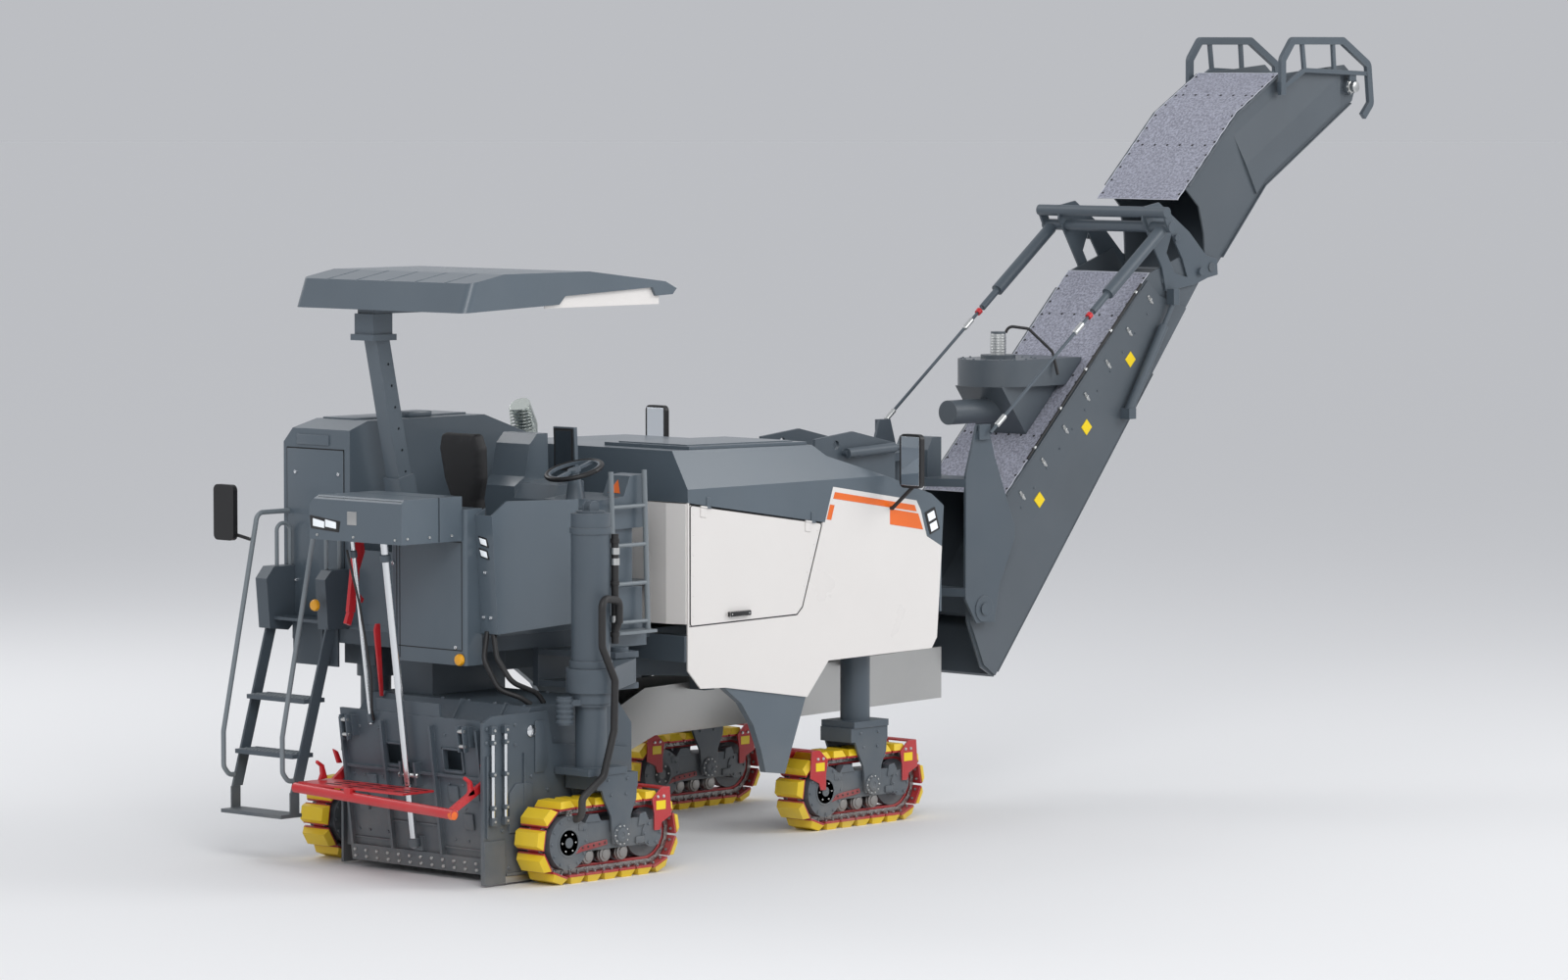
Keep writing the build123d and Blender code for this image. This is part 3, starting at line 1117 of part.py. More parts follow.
# Head section, drawn unfolded: it turns about the pins on the lower edge.
with BuildPart() as upper_conveyor:
    for side in (-1, 1):
        side_slab(
            [(7720, 3790), (7800, 3790), (8420, 4440), (9500, 5080), (9560, 5240), (9400, 5360),
             (8600, 5290), (8080, 4990), (7480, 4424), (7640, 4290), (7700, 4080)],
            *on_side(side, TROUGH_HALF_WIDTH, CONVEYOR_HALF_WIDTH),
        )
        folded_skin((8420, 0, 4440), (9500, 0, 5080), 260, UPPER_SKIN, side)
        edge_lips(UPPER_LIPS, side)
        bar((FOLD_X, side * TROUGH_HALF_WIDTH, FOLD_Z),
            (FOLD_X, side * (CONVEYOR_HALF_WIDTH + 30), FOLD_Z), 34)
        bar((FOLD_X, side * TROUGH_HALF_WIDTH, FOLD_Z),
            (FOLD_X, side * (FOLD_PLATE_Y - SEAT_GAP), FOLD_Z), 55)
        bar((9440, side * CONVEYOR_HALF_WIDTH, 5190),
            (9440, side * (CONVEYOR_HALF_WIDTH + 40), 5190), 62)
    bar((9440, -CONVEYOR_HALF_WIDTH - 90, 5190), (9440, -CONVEYOR_HALF_WIDTH, 5190), 40)
    side_slab([(7790, 3800), (8420, 4440), (9500, 5080), (9490, 5097), (8410, 4457),
               (7775, 3815)], -TROUGH_HALF_WIDTH, TROUGH_HALF_WIDTH)
    bar((9440, -TROUGH_HALF_WIDTH, 5190), (9440, TROUGH_HALF_WIDTH, 5190), 100)
write(upper_conveyor, "upper_conveyor")

with BuildPart() as upper_cover:
    side_slab([(7390, 4339.8), (8080, 4990.4), (8600, 5290.4), (8594, 5301), (8072, 5001),
               (7382, 4350)], -CONVEYOR_HALF_WIDTH, CONVEYOR_HALF_WIDTH)
write(upper_cover, "upper_cover")

GUARD_Y = CONVEYOR_HALF_WIDTH + 58
GUARD_LOOP = [(8560, 5130), (8560, 5400), (8680, 5545), (9300, 5545), (9620, 5360), (9655, 5060),
              (9560, 4960)]
GUARD_POSTS = (((8800, 5530), (8830, 5320)), ((9180, 5530), (9200, 5310)),
               ((8570, 5190), (8830, 5320)), ((8830, 5320), (9640, 5290)))

with BuildPart() as head_guards:
    for side in (-1, 1):
        y = side * GUARD_Y
        bent_bar([(x, y, z) for x, z in GUARD_LOOP], 34, 58, 45)
        for (low_x, low_z), (high_x, high_z) in GUARD_POSTS:
            beam((low_x, y, low_z), (high_x, y, high_z), 24, 34)
        block((8545, 8600), on_side(side, CONVEYOR_HALF_WIDTH + LIP_WIDTH, GUARD_Y), (5150, 5230))
        block((9400, 9480), on_side(side, CONVEYOR_HALF_WIDTH + 40 + SEAT_GAP, GUARD_Y),
              (5235, 5310))
write(head_guards, "head_guards")

# ---------------------------------------------------------------- canopy
MAST_RISE = Vector(-sin(radians(MAST_LEAN)), 0, cos(radians(MAST_LEAN)))


def on_mast(height):
    """Return the point at a height along the leaning mast."""
    point = Vector(*MAST_FOOT) + MAST_RISE * height
    return (point.X, point.Y, point.Z)


MAST_SIZE = 120
with BuildPart() as mast_socket:
    with BuildSketch(Plane(origin=on_mast(-480), x_dir=(0, 1, 0), z_dir=MAST_RISE)):
        Rectangle(MAST_SIZE + 30, MAST_SIZE + 30)
        Rectangle(MAST_SIZE + 2 * RUNNING_FIT, MAST_SIZE + 2 * RUNNING_FIT, mode=Mode.SUBTRACT)
    extrude(amount=780)
    block((-300, 300), (0, 400), (1500, FLOOR_Z), Mode.SUBTRACT)
write(mast_socket, "mast_socket")

with BuildPart() as canopy_mast:
    with BuildSketch(Plane(origin=on_mast(230), x_dir=(0, 1, 0), z_dir=MAST_RISE)):
        Rectangle(MAST_SIZE, MAST_SIZE)
        Rectangle(MAST_SIZE - 16, MAST_SIZE - 16, mode=Mode.SUBTRACT)
    extrude(amount=1200)
    for height in range(330, 1230, 150):
        x, y, z = on_mast(height)
        bar((x + 14, y - MAST_SIZE, z), (x + 14, y + MAST_SIZE, z), 9, Mode.SUBTRACT)
    block((-440, -260), (120, 300), (3560, 3700))
    block((-460, -240), (100, 320), (3520, 3562))
    block((-420, 560), (130, 290), (3700, 3760))
    block((-150, 500), (130, 290), (3760, 3959.7))
write(canopy_mast, "canopy_mast")

CANOPY = [(-575, 3735), (-500, 3930), (-200, 3985), (600, 3985), (1330, 3900), (1440, 3850),
          (1400, 3810)]
ROOF_RIGHT_Y = -900
ROOF_LEFT_Y = 760
FLUTE_YS = (-640, -355, -70, 215, 500)
FLUTE_ROUTE = [(-500, 3930), (-200, 3985), (600, 3985), (1330, 3900)]

with BuildPart() as canopy_roof:
    side_slab(CANOPY, ROOF_RIGHT_Y, ROOF_LEFT_Y)
    corners = [edge for edge in canopy_roof.edges()
               if edge.center().X < -520 and abs(edge.center().Z - 3832) < 20]
    fillet([edge for edge in corners if abs(edge.length - 208.9) < 1], 60)
    fillet(canopy_roof.edges().filter_by(Axis.Y).group_by(Axis.Z)[-1], 60)
    side_slab(
        [(-550, 3700), (-478, 3905), (-200, 3960), (600, 3960), (1320, 3875), (1500, 3700)],
        ROOF_RIGHT_Y + 25, ROOF_LEFT_Y - 25, Mode.SUBTRACT,
    )
    side_slab([(240, 3700), (370, 3825), (1205, 3862), (1300, 3700)], ROOF_RIGHT_Y - 1,
              ROOF_LEFT_Y + 1, Mode.SUBTRACT)
    for y in FLUTE_YS:
        for start, end in zip(FLUTE_ROUTE, FLUTE_ROUTE[1:]):
            bar((start[0], y, start[1] + 3), (end[0], y, end[1] + 3), 14, Mode.SUBTRACT)
        bar((-590, y, 3940), (-440, y, 3967), 30, Mode.SUBTRACT)
write(canopy_roof, "canopy_roof")

LINER_RIGHT_Y = ROOF_RIGHT_Y + 25 + SEAT_GAP
LINER_LEFT_Y = ROOF_LEFT_Y - 25 - SEAT_GAP
with BuildPart() as canopy_liner:
    side_slab([(200, 3959.7), (600, 3959.7), (1290, 3878.2), (1290, 3745), (200, 3745)],
              LINER_RIGHT_Y, LINER_LEFT_Y)
    side_slab([(190, 3951), (598, 3951), (1282, 3870), (1282, 3700), (190, 3700)],
              LINER_RIGHT_Y + 8, LINER_LEFT_Y - 8, Mode.SUBTRACT)
    block((190, 570), (120, 300), (3690, 3970), Mode.SUBTRACT)
write(canopy_liner, "canopy_liner")
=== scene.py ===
"""Looks of a compact tracked cold planer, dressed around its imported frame."""

import json
import logging
import math
from dataclasses import dataclass, field
from enum import Enum
from functools import cached_property
from typing import Callable, Sequence

import bmesh
import bpy
from mathutils import Euler, Matrix, Quaternion, Vector

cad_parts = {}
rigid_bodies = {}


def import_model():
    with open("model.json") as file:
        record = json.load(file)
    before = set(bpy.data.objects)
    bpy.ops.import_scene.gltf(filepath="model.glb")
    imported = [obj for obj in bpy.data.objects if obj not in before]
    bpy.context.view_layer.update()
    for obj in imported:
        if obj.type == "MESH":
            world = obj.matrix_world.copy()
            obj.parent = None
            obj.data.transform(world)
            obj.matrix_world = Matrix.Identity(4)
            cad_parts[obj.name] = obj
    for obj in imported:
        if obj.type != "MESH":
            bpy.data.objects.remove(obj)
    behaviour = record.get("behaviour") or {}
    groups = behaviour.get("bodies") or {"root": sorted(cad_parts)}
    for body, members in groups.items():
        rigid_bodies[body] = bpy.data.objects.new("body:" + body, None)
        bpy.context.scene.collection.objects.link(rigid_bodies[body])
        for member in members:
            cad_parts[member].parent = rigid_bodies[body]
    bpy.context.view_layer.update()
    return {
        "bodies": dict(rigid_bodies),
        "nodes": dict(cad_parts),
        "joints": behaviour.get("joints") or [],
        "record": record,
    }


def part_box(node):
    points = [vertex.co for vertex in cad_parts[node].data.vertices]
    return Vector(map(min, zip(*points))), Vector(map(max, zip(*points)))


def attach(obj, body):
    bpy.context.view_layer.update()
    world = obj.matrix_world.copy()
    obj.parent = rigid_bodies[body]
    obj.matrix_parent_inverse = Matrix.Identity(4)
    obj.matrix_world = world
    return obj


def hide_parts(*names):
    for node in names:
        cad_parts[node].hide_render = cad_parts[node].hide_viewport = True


LOG = logging.getLogger("planer")
Point = tuple[float, float, float]
Colour = tuple[float, float, float]
Pair = tuple[float, float]
Outline = tuple[Pair, ...]
Span = Pair
Node = bpy.types.Node
Piece = bpy.types.Object
Socket = bpy.types.NodeSocket
Sockets = bpy.types.bpy_prop_collection
Tree = bpy.types.NodeTree
SHARP_ANGLE = math.radians(35.0)
TURN_ATTRIBUTE = "turn"
SIDES = (-1, 1)

FRONT: Point = (1.0, 0.0, 0.0)
REAR: Point = (-1.0, 0.0, 0.0)
LEFT: Point = (0.0, 1.0, 0.0)
RIGHT: Point = (0.0, -1.0, 0.0)
UP: Point = (0.0, 0.0, 1.0)
DOWN: Point = (0.0, 0.0, -1.0)


# ------------------------------------------------------------------ shader groups
class Effect(Enum):
    """Shader node groups that several finishes share."""

    EDGE_WEAR = "edge_wear"
    GRAIN = "surface_grain"
    DUST = "settled_dust"
    WEAVE = "cloth_weave"


class Wiring:
    """A thin wrapper that adds nodes to a tree and links them."""

    def __init__(self, tree: Tree) -> None:
        """Keep the tree that is being wired."""
        self.tree = tree

    def feed(self, value: object, target: Socket) -> None:
        """Link a socket to an input, or set the input to a number or a colour.

        Args:
            value: A socket, a number or a colour.
            target: The input.
        """
        if isinstance(value, Socket):
            self.tree.links.new(value, target)
        else:
            target.default_value = (*value, 1.0) if target.type == "RGBA" else value

    def add(self, kind: str, **values: object) -> Node:
        """Add a node, set its properties and feed its inputs.

        Args:
            kind: The node's type.
            values: Values or sockets by the name of a property or of an input, in small letters.

        Returns:
            The node.
        """
        node = self.tree.nodes.new(kind)
        for name, value in values.items():
            if hasattr(node, name) and not isinstance(value, Socket):
                setattr(node, name, value)
            else:
                self.feed(value, node.inputs[name.replace("_", " ").title()])
        return node

    def maths(self, operation: str, first: object, second: object = 0.0) -> Socket:
        """Return a sum, a product or the like of two sockets or numbers.

        Args:
            operation: The operation's name.
            first, second: Sockets or numbers.

        Returns:
            The result's socket.
        """
        node = self.add("ShaderNodeMath", operation=operation)
        self.feed(first, node.inputs[0])
        self.feed(second, node.inputs[1])
        return node.outputs[0]

    def clamp(self, value: Socket) -> Socket:
        """Return a value kept between 0 and 1."""
        return self.add("ShaderNodeClamp", value=value).outputs[0]

    def mix(self, share: object, low: object, high: object) -> Socket:
        """Mix two colours.

        Args:
            share: A socket or a number from 0 to 1.
            low: The colour, or its socket, at 0.
            high: The colour, or its socket, at 1.

        Returns:
            The mixed colour's socket.
        """
        node = self.add("ShaderNodeMix", data_type="RGBA")
        for place, value in zip((0, 6, 7), (share, low, high)):
            self.feed(value, node.inputs[place])
        return node.outputs[2]

    def noise(self, scale: object, detail: float = 3.0) -> Socket:
        """Return noise of a scale and a number of octaves on the object's own coordinates."""
        node = self.add("ShaderNodeTexNoise", detail=detail, scale=scale, vector=self.own_place())
        return node.outputs["Fac"]

    def own_place(self) -> Socket:
        """Return the object's own coordinates."""
        return self.add("ShaderNodeTexCoord").outputs["Object"]


class EffectLibrary:
    """Builds each shared shader group once."""

    def __init__(self) -> None:
        """Start with no groups built."""
        self._built: dict[Effect, Tree] = {}

    def get(self, effect: Effect) -> Tree:
        """Return a group, and build it the first time.

        Args:
            effect: The wanted effect.

        Returns:
            The shader node group.
        """
        if effect not in self._built:
            makers: dict[Effect, Callable[[], Tree]] = {
                Effect.EDGE_WEAR: self._worn_and_highlit_edges,
                Effect.GRAIN: self._grain,
                Effect.DUST: self._dust,
                Effect.WEAVE: self._weave,
            }
            self._built[effect] = makers[effect]()
        return self._built[effect]

    @staticmethod
    def _group(effect: Effect, inputs: dict[str, float], outputs: dict[str, str]) -> tuple[Wiring, Sockets]:
        """Start a group with named sockets.

        Args:
            effect: The effect that names the group.
            inputs: Float input names with their defaults.
            outputs: Output names with their socket types.

        Returns:
            The wiring and the group's given sockets.
        """
        tree = bpy.data.node_groups.new(effect.value, "ShaderNodeTree")
        for name, default in inputs.items():
            socket = tree.interface.new_socket(name, in_out="INPUT", socket_type="NodeSocketFloat")
            socket.default_value = default
        for name, kind in outputs.items():
            tree.interface.new_socket(name, in_out="OUTPUT", socket_type=kind)
        wiring = Wiring(tree)
        return wiring, wiring.add("NodeGroupInput").outputs

    def _worn_and_highlit_edges(self) -> Tree:
        """Return rounded edge normals and a broken mask along the edges, for worn paint and a painted
        highlight on the edges.
        """
        wiring, given = self._group(Effect.EDGE_WEAR, {"Radius": 0.004, "Amount": 0.5, "Scale": 9.0},
                                    {"Mask": "NodeSocketFloat", "Normal": "NodeSocketVector"})
        rounded = wiring.add("ShaderNodeBevel", samples=4, radius=given["Radius"]).outputs["Normal"]
        facing = wiring.add("ShaderNodeVectorMath", operation="DOT_PRODUCT")
        wiring.feed(rounded, facing.inputs[0])
        wiring.feed(wiring.add("ShaderNodeNewGeometry").outputs["Normal"], facing.inputs[1])
        edge = wiring.maths("MULTIPLY", wiring.maths("SUBTRACT", 1.0, facing.outputs["Value"]), 9.0)
        broken = wiring.maths("SUBTRACT", wiring.noise(given["Scale"], 6.0), 0.42)
        mask = wiring.maths("MULTIPLY", edge, wiring.maths("MULTIPLY", broken, 5.0))
        strength = wiring.maths("MULTIPLY", wiring.clamp(mask), given["Amount"])
        wiring.add("NodeGroupOutput", mask=strength, normal=rounded)
        return wiring.tree

    def _grain(self) -> Tree:
        """Return a fine relief and a slow variation for paint, plastic and metal."""
        wiring, given = self._group(Effect.GRAIN, {"Scale": 180.0, "Patch Scale": 1.6},
                                    {"Height": "NodeSocketFloat", "Patches": "NodeSocketFloat"})
        wiring.add("NodeGroupOutput", height=wiring.noise(given["Scale"], 2.0),
                   patches=wiring.noise(given["Patch Scale"], 5.0))
        return wiring.tree

    def _dust(self) -> Tree:
        """Return a patchy dust mask that is strongest near the ground."""
        wiring, given = self._group(Effect.DUST, {"Height": 0.8, "Amount": 0.4, "Scale": 3.0},
                                    {"Mask": "NodeSocketFloat"})
        split = wiring.add("ShaderNodeSeparateXYZ", vector=wiring.own_place())
        share = wiring.maths("DIVIDE", split.outputs["Z"], given["Height"])
        fall = wiring.maths("MAXIMUM", wiring.maths("SUBTRACT", 1.0, share), 0.06)
        patch = wiring.maths("POWER", wiring.noise(given["Scale"], 7.0), 2.0)
        mask = wiring.maths("MULTIPLY", wiring.maths("MULTIPLY", fall, patch), 2.4)
        wiring.add("NodeGroupOutput", mask=wiring.clamp(wiring.maths("MULTIPLY", mask, given["Amount"])))
        return wiring.tree

    def _weave(self) -> Tree:
        """Return a woven relief and a speckle of light and dark threads."""
        wiring, given = self._group(Effect.WEAVE, {"Threads": 220.0, "Speckle": 60.0},
                                    {"Height": "NodeSocketFloat", "Speckle": "NodeSocketFloat"})
        place = wiring.own_place()
        warp, weft = [wiring.add("ShaderNodeTexWave", bands_direction=direction, vector=place,
                                 scale=given["Threads"]).outputs["Fac"] for direction in "XY"]
        fleck = wiring.maths("SUBTRACT", wiring.noise(given["Speckle"], 9.0), 0.38)
        wiring.add("NodeGroupOutput", height=wiring.maths("MULTIPLY", warp, weft),
                   speckle=wiring.clamp(wiring.maths("MULTIPLY", fleck, 4.0)))
        return wiring.tree


# ------------------------------------------------------------------ finishes
@dataclass(frozen=True)
class Finish:
    """One surface finish: its colour, sheen, grain, edge wear with a painted edge highlight, and dust."""

    name: str
    slot: str
    colour: Colour
    roughness: float = 0.42
    metallic: float = 0.0
    coat: float = 0.0
    variation: float = 0.12
    grain: float = 0.06
    grain_scale: float = 260.0
    edge: float = 0.004
    # wear sets the edge mask's strength: worn paint and a painted highlight along the edges, in the edge
    # colour below.
    wear: float = 0.25
    wear_and_highlight_colour: Colour = (0.42, 0.44, 0.46)
    dust: float = 0.3
    dust_colour: Colour = (0.36, 0.33, 0.29)
    woven: bool = False
    emission: float = 0.0

    def material(self, effects: EffectLibrary) -> bpy.types.Material:
        """Build the finish as a material.

        Args:
            effects: The shared shader groups.

        Returns:
            The new material.
        """
        material = bpy.data.materials.new(self.name)
        material.use_nodes = True
        material.node_tree.nodes.clear()
        wiring = Wiring(material.node_tree)
        grain = wiring.add("ShaderNodeGroup", node_tree=effects.get(Effect.GRAIN), scale=self.grain_scale)
        patches, height = grain.outputs["Patches"], grain.outputs["Height"]
        deep = tuple(channel * (1.0 - self.variation) for channel in self.colour)
        pale = tuple(min(1.0, channel * (1.0 + self.variation)) for channel in self.colour)
        colour = wiring.mix(patches, deep, pale)
        if self.woven:
            weave = wiring.add("ShaderNodeGroup", node_tree=effects.get(Effect.WEAVE))
            shade = tuple(channel * 0.55 for channel in self.colour)
            colour = wiring.mix(weave.outputs["Speckle"], shade, colour)
            height = weave.outputs["Height"]
        # The edge mask mixes the edge colour in: partly worn paint, partly a painted highlight on the edges.
        wear = wiring.add("ShaderNodeGroup", node_tree=effects.get(Effect.EDGE_WEAR), radius=self.edge,
                          amount=self.wear)
        colour = wiring.mix(wear.outputs["Mask"], colour, self.wear_and_highlight_colour)
        dust = wiring.add("ShaderNodeGroup", node_tree=effects.get(Effect.DUST),
                          amount=self.dust).outputs["Mask"]
        colour = wiring.mix(dust, colour, self.dust_colour)

        rough = wiring.maths("ADD", wiring.maths("MULTIPLY", patches, 0.16), self.roughness - 0.08)
        rough = wiring.maths("ADD", rough, wiring.maths("MULTIPLY", dust, 0.35))
        bump = wiring.add("ShaderNodeBump", strength=self.grain, distance=0.0015, height=height,
                          normal=wear.outputs["Normal"])
        surface = wiring.add("ShaderNodeBsdfPrincipled", metallic=self.metallic, coat_weight=self.coat,
                             coat_roughness=0.12, base_color=colour, roughness=rough,
                             normal=bump.outputs["Normal"])
        if self.emission:
            wiring.feed(self.colour, surface.inputs["Emission Color"])
            wiring.feed(self.emission, surface.inputs["Emission Strength"])
        wiring.add("ShaderNodeOutputMaterial", surface=surface.outputs[0])
        return material


SLATE = Finish("slate_paint", "body_paint", (0.098, 0.128, 0.155), 0.36, coat=0.25)
CHASSIS = Finish("chassis_paint", "frame_paint", (0.075, 0.098, 0.120), 0.44, dust=0.45, wear=0.35)
CONVEYOR_PAINT = Finish("conveyor_paint", "body_paint", (0.080, 0.098, 0.115), 0.40, coat=0.15)
WHITE = Finish("warm_white_paint", "panel_white", (0.82, 0.79, 0.76), 0.30, coat=0.35,
               variation=0.03, wear=0.08, dust=0.12)
RED = Finish("signal_red_paint", "signal_red", (0.60, 0.012, 0.020), 0.40, coat=0.2, wear=0.3)
SHOE_RED = Finish("shoe_red_paint", "chain_red", (0.50, 0.010, 0.018), 0.46, wear=0.7)
PAD_YELLOW = Finish("pad_yellow_rubber", "pad_yellow", (0.90, 0.62, 0.006), 0.48,
                    variation=0.08, grain=0.12, wear=0.12, dust=0.25)
LINK_STEEL = Finish("link_steel", "bare_steel", (0.34, 0.33, 0.32), 0.38, metallic=0.9, wear=0.6)
CHROME = Finish("ground_rod", "polished_steel", (0.74, 0.76, 0.78), 0.16, metallic=1.0,
                variation=0.04, grain=0.02, wear=0.0, dust=0.05)
BARE_STEEL = Finish("bare_steel", "bare_steel", (0.48, 0.48, 0.47), 0.34, metallic=0.9,
                    grain=0.14, grain_scale=90.0, wear=0.4)
STAINLESS = Finish("stainless_pipe", "exhaust_steel", (0.62, 0.66, 0.62), 0.26, metallic=0.9,
                   wear=0.0, dust=0.05)
BLACK = Finish("black_plastic", "black_plastic", (0.012, 0.012, 0.013), 0.42, grain=0.2,
               wear=0.05, dust=0.15)
SEAT_CLOTH = Finish("seat_upholstery", "seat_black", (0.010, 0.010, 0.011), 0.6, grain=0.35,
                    grain_scale=320.0, wear=0.0, dust=0.08)
DUST_CLOTH = Finish("speckled_dust_cloth", "cover_fabric", (0.46, 0.47, 0.56), 0.85, grain=0.5,
                    variation=0.05, wear=0.0, dust=0.0, woven=True)
TOOL_STEEL = Finish("milling_tool_steel", "bare_steel", (0.22, 0.20, 0.18), 0.5, metallic=0.8)
CAST_GREY = Finish("drum_paint", "bare_steel", (0.10, 0.11, 0.12), 0.55, wear=0.6, dust=0.5)


HOSE = Finish("hose_rubber", "hose_rubber", (0.014, 0.014, 0.015), 0.5, grain=0.2, wear=0.0)
SEAL = Finish("door_seal", "black_plastic", (0.006, 0.006, 0.007), 0.6, wear=0.0, dust=0.1)
PAINTED_BOLT = Finish("painted_bolt", "frame_paint", (0.085, 0.11, 0.135), 0.4, wear=0.5)
BOLT_STEEL = Finish("plated_bolt", "bare_steel", (0.62, 0.63, 0.62), 0.28, metallic=0.95, wear=0.0)
BOLT_DARK = Finish("dark_bolt", "bare_steel", (0.055, 0.055, 0.06), 0.4, metallic=0.8, wear=0.1)
DARK_RED = Finish("skid_red", "signal_red", (0.30, 0.020, 0.026), 0.5, wear=0.6)
SIGN_YELLOW = Finish("blank_sign_yellow", "pad_yellow", (0.94, 0.66, 0.004), 0.34, grain=0.0,
                     wear=0.0, dust=0.05)
ORANGE = Finish("stripe_orange", "signal_red", (0.90, 0.16, 0.012), 0.34, coat=0.3, wear=0.03,
                dust=0.06)
AMBER = Finish("amber_cap", "pad_yellow", (0.95, 0.42, 0.010), 0.3, coat=0.3, wear=0.0, dust=0.1)
LAMP = Finish("lamp_glass", "panel_white", (0.86, 0.90, 0.93), 0.08, coat=0.8, grain=0.0,
              variation=0.02, wear=0.0, dust=0.0, emission=0.25)
MIRROR = Finish("mirror_glass", "polished_steel", (0.78, 0.82, 0.86), 0.04, metallic=1.0, grain=0.0,
                variation=0.02, wear=0.0, dust=0.0)
SCREEN = Finish("blank_screen", "black_plastic", (0.030, 0.040, 0.050), 0.08, coat=0.8, grain=0.0,
                wear=0.0, dust=0.0)
PALE_LINE = Finish("pale_edging", "cover_fabric", (0.62, 0.64, 0.70), 0.6, wear=0.0, dust=0.05)


RAIL_GREY = Finish("rail_grey", "frame_paint", (0.20, 0.23, 0.25), 0.38, wear=0.3)


class Palette:
    """Turns finishes into materials, each one once."""

    def __init__(self) -> None:
        """Start with no materials."""
        self._effects = EffectLibrary()
        self._made: dict[str, bpy.types.Material] = {}

    def get(self, finish: Finish) -> bpy.types.Material:
        """Return the material of a finish."""
        if finish.name not in self._made:
            self._made[finish.name] = finish.material(self._effects)
        return self._made[finish.name]


# ------------------------------------------------------------------ mesh making
def unit_vector(axis: str, sign: float = 1.0) -> Point:
    """Return the unit vector of a named axis."""
    return tuple(sign if name == axis else 0.0 for name in "xyz")


def between(start: Sequence[float], end: Sequence[float], share: float) -> Point:
    """Return the point at a share of the way from one point to another."""
    return tuple(Vector(start).lerp(Vector(end), share))


def span(start: float, end: float) -> Span:
    """Return two values as a span, with the lower one first."""
    return (min(start, end), max(start, end))


def spread(low: float, high: float, count: int) -> list[float]:
    """Return evenly spaced values from low to high, both ends included."""
    return [low + (high - low) * index / (count - 1) for index in range(count)]


def shown(name: str, data: bpy.types.ID) -> Piece:
    """Make an object for a mesh, a light or a camera, and show it in the scene."""
    piece = bpy.data.objects.new(name, data)
    bpy.context.scene.collection.objects.link(piece)
    return piece


@dataclass(frozen=True)
class Place:
    """Where a repeated unit stands: its point, the way its top faces, and its spin."""

    point: Point
    axis: Point = UP
    spin: float = 0.0

    def turn(self) -> Euler:
        """Return the turn that takes the unit's Z axis to this place's axis."""
        aim = Vector(self.axis).to_track_quat("Z", "Y")
        return (aim @ Quaternion(UP, self.spin)).to_euler()


def ring_places(centre: Point, axis: str, sign: float, radius: float, count: int,
                offset: float = 0.0) -> list[Place]:
    """Return places spaced evenly round a circle, all facing along its axis.

    Args:
        centre, radius: The circle.
        axis, sign: The axis that it turns about, and the way that the units face.
        count, offset: The number of places, and the first one's angle in degrees.

    Returns:
        The places.
    """
    first, second = [Vector(unit_vector(name)) for name in "xyz" if name != axis]
    places = []
    for index in range(count):
        angle = math.radians(offset) + math.tau * index / count
        point = Vector(centre) + radius * (math.cos(angle) * first + math.sin(angle) * second)
        places.append(Place(tuple(point), unit_vector(axis, sign), angle))
    return places


